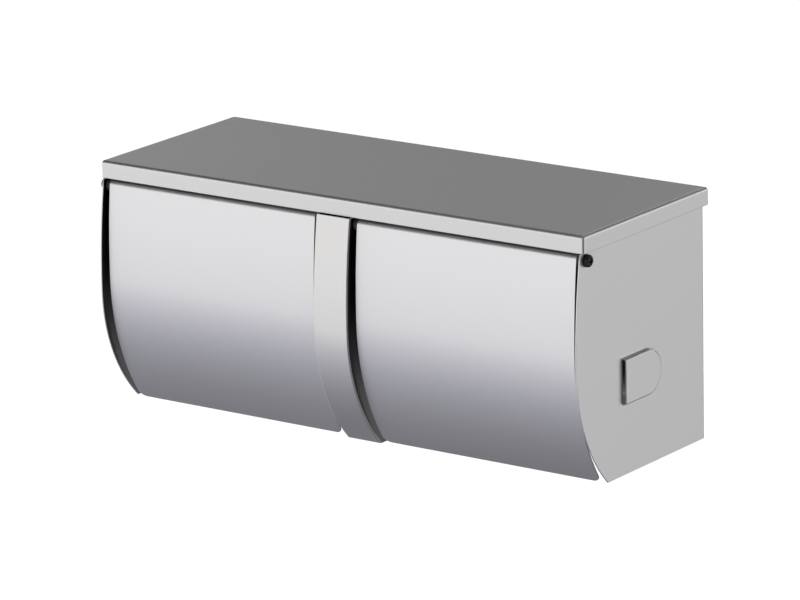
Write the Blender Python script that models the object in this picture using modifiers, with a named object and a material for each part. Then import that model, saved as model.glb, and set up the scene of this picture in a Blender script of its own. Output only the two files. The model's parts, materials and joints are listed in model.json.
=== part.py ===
"""Wall-mounted double toilet paper holder with a shelf, folded from stainless steel sheet.

A shelf tray caps a U-folded body. A hollow divider parts the two roll bays, and each bay has a
bowed cover, curled round a hinge rod along its top edge, and a telescoping roller for the paper.

Frame: +X to the right as seen from the room, +Y into the wall, +Z up. The origin is the middle
of the shelf's rear lip, in the wall plane, so the whole holder lies at Y <= 0.
"""
import math

import bmesh
import bpy
from mathutils import Matrix, Vector

MM = 0.001
LEFT, RIGHT = -1, 1

# Sheet metal
SHEET = 0.8 * MM  # shelf, body and divider
COVER_SHEET = 0.6 * MM
GAP = 0.3 * MM  # clearance between pieces that rest on, pass or fit inside each other

# Shelf tray
SHELF_WIDTH = 300.0 * MM
SHELF_DEPTH = 114.3 * MM
LIP_DROP = 9.2 * MM
LIP_BEND = 1.6 * MM  # outer radius of the bends along the shelf's edges and of its welded corners

# Body shell
BODY_DROP = 131.8 * MM  # shelf top to the bottom edge of the side plates
WALL_STANDOFF = 2.3 * MM  # back panel to the wall plane
BACK_BEND = 2.2 * MM  # outer radius between the back panel and a side plate

# Front edge of the side plates and the divider, seen from the side
EDGE_TOP_PROUD = 0.6 * MM  # ahead of the shelf's front lip, just below it
EDGE_APEX_PROUD = 5.3 * MM  # ahead of the shelf's front lip, at the fullest point
EDGE_APEX_DROP = 68.0 * MM
EDGE_FOOT_SETBACK = 27.0 * MM  # from the fullest point back to the bottom corner

# Raised D-shaped pockets that hold the roller's ends
POCKET_RADIUS = 12.5 * MM
POCKET_FROM_WALL = 57.9 * MM  # wall plane to the centre of the round end
POCKET_DROP = 83.0 * MM
POCKET_STRAIGHT = 20.6 * MM  # from the centre of the round end forward to the open mouth
POCKET_RISE = 2.3 * MM

# Screw seats pressed out of the back panel
SEAT_RADIUS = 9.0 * MM
SEAT_TAPER = 1.4 * MM
SEAT_HOLE_RADIUS = 2.5 * MM
SEAT_SPACING_X = 210.0 * MM
SEAT_SPACING_Z = 76.0 * MM
SEAT_TOP_DROP = 31.0 * MM

# Divider
DIVIDER_WIDTH = 21.0 * MM
DIVIDER_OVERHANG = 1.5 * MM  # how far it reaches below the side plates
DIVIDER_SLOT = 8.0 * MM  # between the two rear flanges

# Covers
COVER_SIDE_GAP = 2.6 * MM  # beside each end of a cover
COVER_APEX_SETBACK = 3.4 * MM  # behind the side plates' fullest point
COVER_APEX_DROP = 62.0 * MM
COVER_FOOT_PROUD = 1.3 * MM  # ahead of the side plates' bottom corner
COVER_FOOT_RISE = 0.2 * MM
COVER_CORNER_RADIUS = 4.5 * MM
CURL_ANGLE = math.radians(285)

# Hinge hardware
PIVOT_BEHIND_LIP = 4.0 * MM
PIVOT_BELOW_LIP = 4.0 * MM
ROD_RADIUS = 2.4 * MM
ROD_PILOT_RADIUS = 1.4 * MM
ROD_PILOT_REACH = 1.6 * MM  # beyond the divider's cheek
SCREW_RADIUS = 1.25 * MM
SCREW_LENGTH = 7.0 * MM
SCREW_HEAD_RADIUS = 3.2 * MM
SCREW_HEAD_HEIGHT = 2.4 * MM
SCREW_HEAD_DOME = 1.44 * MM  # height of the head's rounded crown
RECESS_ARM = 2.0 * MM  # half the length of the cross recess's slots
RECESS_HALF_WIDTH = 0.5 * MM
RECESS_DEPTH = 1.4 * MM
WASHER_RADIUS = 3.3 * MM
WASHER_THICKNESS = 0.5 * MM
SPACER_RADIUS = 3.4 * MM

# Rollers
TUBE_RADIUS = 12.0 * MM
TUBE_WALL = 0.8 * MM
TUBE_OVERLAP = 18.0 * MM
OUTER_TUBE_SHARE = 0.55  # of the bay's width
PLUG_FLANGE = 2.0 * MM
PLUG_SIDE_GAP = 1.1 * MM  # between a plug's flange and the wall of the bay
PLUG_SPIGOT = 12.0 * MM
SPRING_WIRE_RADIUS = 0.6 * MM
SPRING_SIDE_GAP = 1.1 * MM  # between the coil and the bore round it
SPRING_PITCH = 9.5 * MM

# Derived places
TOP_Z = LIP_DROP / 2
LIP_Z = TOP_Z - LIP_DROP
LIP_Y = -SHELF_DEPTH
BACK_Y = -WALL_STANDOFF
SIDE_X = SHELF_WIDTH / 2 - SHEET - GAP  # outer face of a side plate
BAY_OUTER_X = SIDE_X - SHEET
BAY_INNER_X = DIVIDER_WIDTH / 2
BEND_CLEARANCE = max(LIP_BEND, SHEET + GAP)  # plates keep this far inside the shelf's bends
BODY_TOP_Z = TOP_Z - BEND_CLEARANCE
BODY_FOOT_Z = TOP_Z - BODY_DROP
NOTCH_Y = LIP_Y + BEND_CLEARANCE  # plates stay behind the shelf's front lip, down to NOTCH_Z
NOTCH_Z = LIP_Z - GAP
PIVOT_Y = LIP_Y + PIVOT_BEHIND_LIP
PIVOT_Z = LIP_Z - PIVOT_BELOW_LIP
BARREL_RADIUS = ROD_RADIUS + GAP + COVER_SHEET  # outside of the cover's curl
POCKET_Y = -POCKET_FROM_WALL
POCKET_Z = TOP_Z - POCKET_DROP
COVER_INNER_X = BAY_INNER_X + COVER_SIDE_GAP
COVER_OUTER_X = BAY_OUTER_X - COVER_SIDE_GAP
NUB_RADIUS = POCKET_RADIUS - SHEET - 4 * GAP
ROLLER_Y = POCKET_Y
ROLLER_Z = POCKET_Z - (POCKET_RADIUS - SHEET - NUB_RADIUS - GAP)


# Profiles -----------------------------------------------------------------------------------

def arc(centre, radius, start, end, steps):
    """Points on a circular arc, angles in radians counted from the first axis."""
    points = []
    for i in range(steps + 1):
        angle = start + (end - start) * i / steps
        points.append((centre[0] + radius * math.cos(angle), centre[1] + radius * math.sin(angle)))
    return points


def chord_radius(run, sagitta):
    """Radius of an arc that leaves its tangent by sagitta after running along it by run."""
    return (run * run + sagitta * sagitta) / (2 * sagitta)


class BowedEdge:
    """A front profile in the YZ plane: a shallow arc above its apex and a tighter one below.

    Both arcs are upright at the apex, so they meet smoothly there.
    """

    def __init__(self, apex, upper_radius, lower_radius):
        self.apex_y, self.apex_z = apex
        self.upper_radius = upper_radius
        self.lower_radius = lower_radius

    def at(self, z, inset=0.0):
        """The point at height z, on the arc that lies inset behind the outer one."""
        radius = self.upper_radius if z > self.apex_z else self.lower_radius
        reach = math.sqrt((radius - inset) ** 2 - (z - self.apex_z) ** 2)
        return (self.apex_y + radius - reach, z)

    def down(self, top_z, bottom_z, inset=0.0, upper_steps=6, lower_steps=14):
        """Points from top_z down to bottom_z."""
        upper = [top_z + (self.apex_z - top_z) * i / upper_steps for i in range(upper_steps)]
        lower = [self.apex_z + (bottom_z - self.apex_z) * i / lower_steps
                 for i in range(lower_steps + 1)]
        return [self.at(z, inset) for z in upper + lower]


def plate_edge():
    """The bowed front edge that the side plates and the divider share."""
    apex = (LIP_Y - EDGE_APEX_PROUD, TOP_Z - EDGE_APEX_DROP)
    upper = chord_radius(LIP_Z - apex[1], EDGE_APEX_PROUD - EDGE_TOP_PROUD)
    lower = chord_radius(apex[1] - BODY_FOOT_Z, EDGE_FOOT_SETBACK)
    return BowedEdge(apex, upper, lower)


def cover_edge():
    """The outer face of a cover. Its upper arc is tangent to the curl round the hinge rod."""
    plates = plate_edge()
    apex = (plates.apex_y + COVER_APEX_SETBACK, TOP_Z - COVER_APEX_DROP)
    behind = PIVOT_Y - apex[0]
    above = PIVOT_Z - apex[1]
    upper = (behind ** 2 + above ** 2 - BARREL_RADIUS ** 2) / (2 * (behind - BARREL_RADIUS))
    foot_y, foot_z = cover_foot()
    lower = chord_radius(apex[1] - foot_z, foot_y - apex[0])
    return BowedEdge(apex, upper, lower)


def cover_foot():
    """The bottom edge of a cover's outer face."""
    plate_foot_y = plate_edge().at(BODY_FOOT_Z)[0]
    return plate_foot_y - COVER_FOOT_PROUD, BODY_FOOT_Z + COVER_FOOT_RISE


def plate_outline(bottom_z, rear_y):
    """Side view of an upright plate: notched behind the shelf's front lip, bowed in front."""
    edge = plate_edge()
    return [(rear_y, BODY_TOP_Z), (NOTCH_Y, BODY_TOP_Z), (NOTCH_Y, NOTCH_Z),
            *edge.down(NOTCH_Z, bottom_z), (rear_y, bottom_z)]


def pocket_outline(inset, forward=0.0):
    """D shape in the YZ plane: round behind, straight across its open mouth in front."""
    radius = POCKET_RADIUS - inset
    mouth_y = POCKET_Y - POCKET_STRAIGHT - forward
    round_end = arc((POCKET_Y, POCKET_Z), radius, math.pi / 2, -math.pi / 2, 16)
    return [(mouth_y, POCKET_Z + radius), *round_end, (mouth_y, POCKET_Z - radius)]


def sheet_section(path, thickness):
    """Closed outline of a bent sheet whose middle follows an open path of 2D points."""
    points = [Vector(point) for point in path]
    runs = [(b - a).normalized() for a, b in zip(points, points[1:])]
    left, right = [], []
    for i, point in enumerate(points):
        before = runs[max(i - 1, 0)]
        after = runs[min(i, len(runs) - 1)]
        mean = (before + after).normalized()
        side = Vector((-mean.y, mean.x)) * (thickness / 2 / mean.dot(after))
        left.append(tuple(point + side))
        right.append(tuple(point - side))
    return left + right[::-1]


# Blender helpers ----------------------------------------------------------------------------

def clear_scene():
    for obj in list(bpy.data.objects):
        bpy.data.objects.remove(obj, do_unlink=True)


def new_collection(name):
    collection = bpy.data.collections.new(name)
    bpy.context.scene.collection.children.link(collection)
    return collection


def material(name, colour, roughness, metallic):
    surface = bpy.data.materials.new(name)
    surface.use_nodes = True
    shader = surface.node_tree.nodes["Principled BSDF"]
    shader.inputs["Base Color"].default_value = (*colour, 1.0)
    shader.inputs["Roughness"].default_value = roughness
    shader.inputs["Metallic"].default_value = metallic
    return surface


def steel(name, roughness=0.3):
    return material(name, (0.70, 0.70, 0.69), roughness, 1.0)


def plastic(name, colour):
    return material(name, colour, 0.5, 0.0)


def add_object(name, data, collection, surface=None):
    obj = bpy.data.objects.new(name, data)
    collection.objects.link(obj)
    if surface is not None:
        data.materials.append(surface)
    return obj


def as_mesh(curve_object, collection):
    """Turn a curve object into a mesh object with welded caps."""
    depsgraph = bpy.context.evaluated_depsgraph_get()
    mesh = bpy.data.meshes.new_from_object(curve_object.evaluated_get(depsgraph))
    bm = bmesh.new()
    bm.from_mesh(mesh)
    bmesh.ops.remove_doubles(bm, verts=bm.verts, dist=0.001 * MM)
    bmesh.ops.recalc_face_normals(bm, faces=bm.faces)
    bm.to_mesh(mesh)
    bm.free()
    name = curve_object.name
    matrix = curve_object.matrix_world.copy()
    bpy.data.objects.remove(curve_object, do_unlink=True)
    mesh.materials.clear()
    obj = add_object(name, mesh, collection)
    obj.matrix_world = matrix
    return obj


# Columns of each matrix: where the outline's two axes and the extrusion point in the world
ALONG_X = Matrix(((0, 0, 1), (1, 0, 0), (0, 1, 0)))
ALONG_Y = Matrix(((1, 0, 0), (0, 0, -1), (0, 1, 0)))
ALONG_Z = Matrix.Identity(3)


def prism(name, outline, low, high, direction, collection):
    """A flat outline extruded from low to high along X, Y or Z."""
    low, high = min(low, high), max(low, high)
    curve = bpy.data.curves.new(name, "CURVE")
    curve.dimensions = "2D"
    curve.fill_mode = "BOTH"
    curve.extrude = (high - low) / 2
    spline = curve.splines.new("POLY")
    spline.points.add(len(outline) - 1)
    for point, (u, v) in zip(spline.points, outline):
        point.co = (u, v, 0, 1)
    spline.use_cyclic_u = True
    obj = add_object(name, curve, collection)
    middle = (low + high) / 2
    offset = direction @ Vector((0, 0, 1))
    obj.matrix_world = Matrix.Translation(offset * middle * sum(offset)) @ direction.to_4x4()
    bpy.context.view_layer.update()
    return as_mesh(obj, collection)


def boolean(obj, tool, operation):
    modifier = obj.modifiers.new(operation.title(), "BOOLEAN")
    modifier.operation = operation
    modifier.solver = "EXACT"
    modifier.object = tool


def frustum(name, base, base_radius, tip, tip_radius, collection):
    """A closed cone stump between two points."""
    axis = Vector(tip) - Vector(base)
    mesh = bpy.data.meshes.new(name)
    bm = bmesh.new()
    bmesh.ops.create_cone(bm, cap_ends=True, segments=24, depth=axis.length,
                          radius1=base_radius, radius2=tip_radius)
    bm.to_mesh(mesh)
    bm.free()
    obj = add_object(name, mesh, collection)
    turn = axis.to_track_quat("Z", "Y").to_matrix().to_4x4()
    obj.matrix_world = Matrix.Translation((Vector(base) + Vector(tip)) / 2) @ turn
    return obj


def turned(name, profile, side, place, collection, surface, closed=False, steps=36):
    """A profile of (radius, distance) turned about an axis along X, growing away from the middle.

    An open profile starts and ends on the axis; a closed one is a ring. Both run down their
    outer side, from the far end of the axis to the near one.
    """
    mesh = bpy.data.meshes.new(name)
    count = len(profile)
    edges = [(i, i + 1) for i in range(count - 1)]
    if closed:
        edges.append((count - 1, 0))
    mesh.from_pydata([(radius, 0, distance) for radius, distance in profile], edges, [])
    obj = add_object(name, mesh, collection, surface)
    screw = obj.modifiers.new("Turn", "SCREW")
    screw.steps = screw.render_steps = steps
    screw.use_merge_vertices = True
    screw.merge_threshold = 0.001 * MM
    screw.use_smooth_shade = True
    axis = Vector((side, 0, 0))
    turn = axis.to_track_quat("Z", "Y").to_matrix().to_4x4()
    obj.matrix_world = Matrix.Translation((0, *place)) @ turn
    return obj


def ring_profile(inner, outer, low, high):
    return [(inner, high), (outer, high), (outer, low), (inner, low)]


# Pieces -------------------------------------------------------------------------------------

def make_shelf_tray(parts):
    """Flat top with a lip folded down along each side; the lips meet in round welded corners."""
    mesh = bpy.data.meshes.new("shelf_tray")
    bm = bmesh.new()
    bmesh.ops.create_cube(bm, size=1.0)
    bmesh.ops.scale(bm, vec=(SHELF_WIDTH, SHELF_DEPTH, LIP_DROP), verts=bm.verts)
    bmesh.ops.translate(bm, vec=(0, -SHELF_DEPTH / 2, 0), verts=bm.verts)
    bottom = [face for face in bm.faces if face.normal.z < -0.5]
    bmesh.ops.delete(bm, geom=bottom, context="FACES")
    rim = [edge for edge in bm.edges if any(vert.co.z > 0 for vert in edge.verts)]
    bmesh.ops.bevel(bm, geom=rim, offset=LIP_BEND, segments=4, profile=0.5, affect="EDGES")
    bm.to_mesh(mesh)
    bm.free()
    tray = add_object("shelf_tray", mesh, parts, steel("shelf_steel"))
    fold = tray.modifiers.new("Sheet", "SOLIDIFY")
    fold.thickness = SHEET
    fold.offset = -1
    fold.use_even_offset = True


def press_pocket(plate, face_x, outward, parts_side, cutters):
    """Raise a D-shaped pocket out of a plate whose raised side is at face_x, towards outward."""
    root = face_x - outward * SHEET / 2
    crest = face_x + outward * POCKET_RISE
    boss = prism("press_" + parts_side, pocket_outline(0), root, crest, ALONG_X, cutters)
    boolean(plate, boss, "UNION")
    floor = face_x - outward * (SHEET + GAP)
    ceiling = crest - outward * SHEET
    hollow = prism("hollow_" + parts_side, pocket_outline(SHEET, forward=GAP), floor, ceiling,
                   ALONG_X, cutters)
    boolean(plate, hollow, "DIFFERENCE")


def pierce(plate, face_x, radius, cutters):
    """Bore a round hole through an upright plate on the hinge axis."""
    near = (face_x - 3 * SHEET, PIVOT_Y, PIVOT_Z)
    far = (face_x + 3 * SHEET, PIVOT_Y, PIVOT_Z)
    boolean(plate, frustum("hole_hinge", near, radius, far, radius, cutters), "DIFFERENCE")


def make_body_shell(parts, cutters):
    """Back panel and side plates folded from one sheet, with pockets, screw seats and holes."""
    middle = SHEET / 2
    side = SIDE_X - middle
    back = BACK_Y - middle
    bend = BACK_BEND - middle
    front = LIP_Y - 2 * EDGE_APEX_PROUD
    path = [(-side, front),
            *arc((bend - side, back - bend), bend, math.pi, math.pi / 2, 6),
            *arc((side - bend, back - bend), bend, math.pi / 2, 0, 6),
            (side, front)]
    shell = prism("body_shell", sheet_section(path, SHEET), BODY_FOOT_Z - SHEET, TOP_Z, ALONG_Z, parts)
    shell.data.materials.append(steel("body_steel"))
    trim = prism("trim_body", plate_outline(BODY_FOOT_Z, SHEET), -SHELF_WIDTH, SHELF_WIDTH,
                 ALONG_X, cutters)
    boolean(shell, trim, "INTERSECT")
    for side_sign in (LEFT, RIGHT):
        press_pocket(shell, side_sign * SIDE_X, side_sign, "body", cutters)
        pierce(shell, side_sign * SIDE_X, SCREW_RADIUS + GAP, cutters)
        for drop in (SEAT_TOP_DROP, SEAT_TOP_DROP + SEAT_SPACING_Z):
            press_seat(shell, side_sign * SEAT_SPACING_X / 2, TOP_Z - drop, cutters)


def press_seat(shell, x, z, cutters):
    """Press one screw seat out of the back panel until it touches the wall plane."""
    root = (x, BACK_Y - SHEET / 2, z)
    seat = frustum("press_seat", root, SEAT_RADIUS, (x, 0, z), SEAT_RADIUS - SEAT_TAPER, cutters)
    boolean(shell, seat, "UNION")
    floor = (x, BACK_Y - SHEET - GAP, z)
    hollow = frustum("hollow_seat", floor, SEAT_RADIUS - SHEET, (x, -SHEET, z),
                     SEAT_RADIUS - SEAT_TAPER - SHEET, cutters)
    boolean(shell, hollow, "DIFFERENCE")
    hole = frustum("hole_seat", floor, SEAT_HOLE_RADIUS, (x, SHEET, z), SEAT_HOLE_RADIUS, cutters)
    boolean(shell, hole, "DIFFERENCE")


def make_centre_divider(parts, cutters):
    """Channel with a bowed front web, two cheeks and rear flanges, open above and below."""
    rear = BACK_Y - SHEET - GAP
    foot = BODY_FOOT_Z - DIVIDER_OVERHANG
    half = DIVIDER_WIDTH / 2
    divider = prism("centre_divider", plate_outline(foot, rear), -half, half, ALONG_X, parts)
    divider.data.materials.append(steel("divider_steel"))
    edge = plate_edge()
    below = foot - SHEET
    above = BODY_TOP_Z + SHEET
    ahead = LIP_Y - 2 * EDGE_APEX_PROUD
    inside = [(rear - SHEET, above), (ahead, above), (ahead, NOTCH_Z),
              *edge.down(NOTCH_Z, below, inset=SHEET), (rear - SHEET, below)]
    hollow = prism("hollow_divider", inside, SHEET - half, half - SHEET, ALONG_X, cutters)
    boolean(divider, hollow, "DIFFERENCE")
    slot_half = DIVIDER_SLOT / 2
    slot = [(-slot_half, rear - 2 * SHEET), (slot_half, rear - 2 * SHEET),
            (slot_half, rear + SHEET), (-slot_half, rear + SHEET)]
    boolean(divider, prism("slot_divider", slot, below, above, ALONG_Z, cutters), "DIFFERENCE")
    for side in (LEFT, RIGHT):
        press_pocket(divider, side * (half - SHEET), -side, "cheek", cutters)
        pierce(divider, side * half, ROD_PILOT_RADIUS + GAP, cutters)


def make_cover(side, name, parts, cutters):
    """Bowed cover sheet whose top edge curls round the hinge rod, with round lower corners."""
    edge = cover_edge()
    middle = COVER_SHEET / 2
    lean = math.asin((PIVOT_Z - edge.apex_z) / (edge.upper_radius - BARREL_RADIUS))
    curl = arc((PIVOT_Y, PIVOT_Z), BARREL_RADIUS - middle,
               math.pi - lean - CURL_ANGLE, math.pi - lean, 24)
    foot_z = cover_foot()[1]
    path = curl[:-1] + edge.down(curl[-1][1], foot_z, inset=middle, upper_steps=8, lower_steps=16)
    inner, outer = side * COVER_INNER_X, side * COVER_OUTER_X
    cover = prism(name, sheet_section(path, COVER_SHEET), inner - side * GAP, outer + side * GAP,
                  ALONG_X, parts)
    cover.data.materials.append(steel(name + "_steel", roughness=0.25))
    radius = COVER_CORNER_RADIUS
    low, high = sorted((inner, outer))
    face = [(low, TOP_Z), *arc((low + radius, foot_z + radius), radius, math.pi, 1.5 * math.pi, 8),
            *arc((high - radius, foot_z + radius), radius, 1.5 * math.pi, 2 * math.pi, 8), (high, TOP_Z)]
    trim = prism("trim_cover", face, 2 * LIP_Y, 0, ALONG_Y, cutters)
    boolean(cover, trim, "INTERSECT")
    set_origin(cover, (0, PIVOT_Y, PIVOT_Z))


def set_origin(obj, place):
    """Move an object's origin to a world point and leave its shape where it is."""
    matrix = obj.matrix_world.copy()
    obj.data.transform(Matrix.Translation(-Vector(place)) @ matrix)
    obj.matrix_world = Matrix.Translation(place)


def make_hinge_hardware(side, prefix, parts, cutters):
    """Rod, screw and washer, and the two spacers that centre the cover between the walls."""
    place = (PIVOT_Y, PIVOT_Z)
    near = BAY_INNER_X + GAP
    far = BAY_OUTER_X - GAP
    bore = SCREW_RADIUS + GAP
    tip = SIDE_X + WASHER_THICKNESS + 2 * GAP - SCREW_LENGTH
    pilot = BAY_INNER_X - SHEET - ROD_PILOT_REACH
    rod = [(0, tip - GAP), (bore, tip - GAP), (bore, far), (ROD_RADIUS, far), (ROD_RADIUS, near),
           (ROD_PILOT_RADIUS, near), (ROD_PILOT_RADIUS, pilot), (0, pilot)]
    turned(prefix + "hinge_rod", rod, side, place, parts, steel(prefix + "rod_steel"))

    seat = SIDE_X + GAP
    turned(prefix + "hinge_washer", ring_profile(bore, WASHER_RADIUS, seat, seat + WASHER_THICKNESS), side,
           place, parts, material(prefix + "washer_black", (0.02, 0.02, 0.02), 0.35, 1.0), closed=True)

    head = seat + WASHER_THICKNESS + GAP
    crest = head + SCREW_HEAD_HEIGHT
    crown = [(SCREW_HEAD_RADIUS * math.sin(angle), crest - SCREW_HEAD_DOME * (1 - math.cos(angle)))
             for angle in (math.pi / 2 * i / 8 for i in range(9))]
    profile = [*crown, (SCREW_HEAD_RADIUS, head), (SCREW_RADIUS, head), (SCREW_RADIUS, tip), (0, tip)]
    screw = turned(prefix + "hinge_screw", profile, side, place, parts,
                   material(prefix + "screw_black", (0.02, 0.02, 0.02), 0.3, 1.0))
    cut_cross_recess(screw, side * crest, side, cutters)

    ring = ROD_RADIUS + GAP
    for name, low, high in (("inner_spacer", BAY_INNER_X, COVER_INNER_X),
                            ("outer_spacer", COVER_OUTER_X, BAY_OUTER_X)):
        turned(prefix + name, ring_profile(ring, SPACER_RADIUS, low + GAP, high - GAP), side, place,
               parts, plastic(prefix + name + "_nylon", (0.03, 0.03, 0.03)), closed=True)


def cut_cross_recess(screw, crest_x, side, cutters):
    """Sink two crossed slots into a screw's head."""
    for half_y, half_z in ((RECESS_ARM, RECESS_HALF_WIDTH), (RECESS_HALF_WIDTH, RECESS_ARM)):
        outline = [(PIVOT_Y - half_y, PIVOT_Z - half_z), (PIVOT_Y + half_y, PIVOT_Z - half_z),
                   (PIVOT_Y + half_y, PIVOT_Z + half_z), (PIVOT_Y - half_y, PIVOT_Z + half_z)]
        slot = prism("recess", outline, crest_x - side * RECESS_DEPTH, crest_x + side * SHEET,
                     ALONG_X, cutters)
        boolean(screw, slot, "DIFFERENCE")


def make_roller(side, prefix, parts):
    """Two telescoping tubes with a plug in each end, pushed apart by a spring."""
    place = (ROLLER_Y, ROLLER_Z)
    tube_end = BAY_OUTER_X - PLUG_SIDE_GAP - PLUG_FLANGE - GAP
    tube_start = BAY_OUTER_X - OUTER_TUBE_SHARE * (BAY_OUTER_X - BAY_INNER_X)
    outer_bore = TUBE_RADIUS - TUBE_WALL
    turned(prefix + "roller_outer_tube", ring_profile(outer_bore, TUBE_RADIUS, tube_start, tube_end),
           side, place, parts, steel(prefix + "outer_tube_steel"), closed=True)

    slim_radius = outer_bore - GAP
    slim_bore = slim_radius - TUBE_WALL
    slim_start = BAY_INNER_X + PLUG_SIDE_GAP + PLUG_FLANGE + GAP
    slim_end = tube_start + TUBE_OVERLAP
    turned(prefix + "roller_inner_tube", ring_profile(slim_bore, slim_radius, slim_start, slim_end),
           side, place, parts, steel(prefix + "inner_tube_steel"), closed=True)

    # The outer plug's nub grows away from the divider, the inner plug's towards it
    outer_floor = BAY_OUTER_X - PLUG_SIDE_GAP
    outer_tip = BAY_OUTER_X + POCKET_RISE - GAP
    turned(prefix + "roller_outer_plug", plug_profile(outer_floor, outer_tip, TUBE_RADIUS, outer_bore - GAP),
           side, place, parts, plastic(prefix + "outer_plug_plastic", (0.75, 0.75, 0.74)))
    inner_floor = BAY_INNER_X + PLUG_SIDE_GAP
    inner_tip = BAY_INNER_X - POCKET_RISE + GAP
    turned(prefix + "roller_inner_plug", plug_profile(-inner_floor, -inner_tip, slim_radius, slim_bore - GAP),
           -side, place, parts, plastic(prefix + "inner_plug_plastic", (0.75, 0.75, 0.74)))

    spigot = PLUG_FLANGE + PLUG_SPIGOT + GAP
    coil_radius = slim_bore - SPRING_SIDE_GAP - SPRING_WIRE_RADIUS
    make_spring(prefix + "roller_spring", side, inner_floor + spigot, outer_floor - spigot, coil_radius,
                parts)


def plug_profile(floor, tip, flange_radius, spigot_radius):
    """End plug: a rounded nub, a flange that stops on the tube, and a spigot inside it."""
    edge = (tip - floor) / 2
    rounded = arc((NUB_RADIUS - edge, tip - edge), edge, math.pi / 2, 0, 5)
    shoulder = floor - PLUG_FLANGE
    end = shoulder - PLUG_SPIGOT
    return [(0, tip), *rounded, (NUB_RADIUS, floor), (flange_radius, floor), (flange_radius, shoulder),
            (spigot_radius, shoulder), (spigot_radius, end), (0, end)]


def make_spring(name, side, low, high, radius, parts):
    """Compression coil between two plugs, with one closed turn at each end."""
    wire = SPRING_WIRE_RADIUS
    start, length = low + wire + GAP, high - low - 2 * (wire + GAP)
    closed_rise = 2 * wire + GAP
    middle_turns = max(3, round((length - 2 * closed_rise) / SPRING_PITCH))
    turns = middle_turns + 2
    per_turn = 10
    curve = bpy.data.curves.new(name, "CURVE")
    curve.dimensions = "3D"
    curve.bevel_depth = wire
    curve.bevel_resolution = 2
    curve.use_fill_caps = True
    spline = curve.splines.new("POLY")
    spline.points.add(turns * per_turn)
    for i, point in enumerate(spline.points):
        turn = i / per_turn
        middle_rise = (length - 2 * closed_rise) * (min(max(turn, 1), turns - 1) - 1) / middle_turns
        rise = closed_rise * (min(turn, 1) + max(turn - turns + 1, 0)) + middle_rise
        angle = 2 * math.pi * turn
        point.co = (side * (start + rise), radius * math.cos(angle), radius * math.sin(angle), 1)
    spring = add_object(name, curve, parts, steel(name + "_wire"))
    spring.location = (0, ROLLER_Y, ROLLER_Z)


def build():
    clear_scene()
    parts = new_collection("double_paper_holder")
    cutters = new_collection("cutters")
    make_shelf_tray(parts)
    make_body_shell(parts, cutters)
    make_centre_divider(parts, cutters)
    for side, prefix in ((LEFT, "left_"), (RIGHT, "right_")):
        make_cover(side, prefix + "cover", parts, cutters)
        make_hinge_hardware(side, prefix, parts, cutters)
        make_roller(side, prefix, parts)
    for cutter in cutters.objects:
        cutter.hide_render = True
        cutter.display_type = "WIRE"


build()
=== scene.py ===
"""Looks of the wall-mounted double toilet paper holder, worked out over its frame.

Each piece is a fine surface computed with numpy, which stands for the plain piece of the frame
that has its name. The file is laid out as an add-on and run as a script.
"""
import json
import math

import bpy
import numpy as np
from bpy.props import FloatProperty, FloatVectorProperty, IntProperty, PointerProperty
from mathutils import Matrix, Vector
from mathutils.geometry import delaunay_2d_cdt


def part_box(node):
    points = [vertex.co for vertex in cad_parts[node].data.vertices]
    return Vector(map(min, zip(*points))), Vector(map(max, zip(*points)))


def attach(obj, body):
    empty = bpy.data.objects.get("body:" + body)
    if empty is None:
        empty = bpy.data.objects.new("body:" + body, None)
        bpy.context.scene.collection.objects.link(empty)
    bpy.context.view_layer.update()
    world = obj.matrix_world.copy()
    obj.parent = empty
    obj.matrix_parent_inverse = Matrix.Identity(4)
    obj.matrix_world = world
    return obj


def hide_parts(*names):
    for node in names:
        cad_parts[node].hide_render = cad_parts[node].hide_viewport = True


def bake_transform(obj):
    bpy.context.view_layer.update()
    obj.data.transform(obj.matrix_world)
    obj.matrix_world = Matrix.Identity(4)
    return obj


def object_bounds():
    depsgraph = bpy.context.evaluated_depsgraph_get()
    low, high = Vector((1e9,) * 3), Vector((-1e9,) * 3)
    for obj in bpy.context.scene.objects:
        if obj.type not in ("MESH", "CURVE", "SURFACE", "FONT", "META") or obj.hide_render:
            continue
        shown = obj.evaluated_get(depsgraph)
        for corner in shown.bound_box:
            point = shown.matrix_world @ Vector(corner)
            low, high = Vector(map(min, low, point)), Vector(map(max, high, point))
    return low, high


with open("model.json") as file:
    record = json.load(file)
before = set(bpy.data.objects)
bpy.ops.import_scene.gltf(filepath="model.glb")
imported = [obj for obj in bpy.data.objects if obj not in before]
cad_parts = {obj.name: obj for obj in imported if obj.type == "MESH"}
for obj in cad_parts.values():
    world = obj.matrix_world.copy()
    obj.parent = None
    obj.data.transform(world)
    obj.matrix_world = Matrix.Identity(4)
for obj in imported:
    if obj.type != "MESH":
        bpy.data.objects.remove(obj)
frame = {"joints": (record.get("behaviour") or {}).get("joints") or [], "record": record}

bl_info = {
    "name": "Double Roll Holder",
    "version": (1, 0, 0),
    "blender": (4, 5, 0),
    "location": "View3D > Sidebar > Roll Holder",
    "description": "Folded steel holder for two rolls, with a shelf, bowed covers and spring rollers",
    "category": "Add Mesh",
}

MM = 0.001
WELD = 1e-6  # points nearer than this are one point
GAP = 0.3 * MM  # space between pieces that don't touch
BRUSH_DEPTH = 0.9e-6  # height of the sheet's brush lines
TURNING_DEPTH = 5e-6  # height of the rings on turned steel
GRAIN_DEPTH = 20e-6  # height of the grain on moulded plastic, and half of it on plating
SIDES = (("left_", -1), ("right_", 1))


# The frame ----------------------------------------------------------------------------------

def node_box(node):
    """Lowest and highest corner of a frame node, as arrays."""
    low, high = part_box(node)
    return np.array(low), np.array(high)


def joint_place(name):
    return np.array(next(joint["pos_m"] for joint in frame["joints"] if joint["name"] == name))


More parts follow.
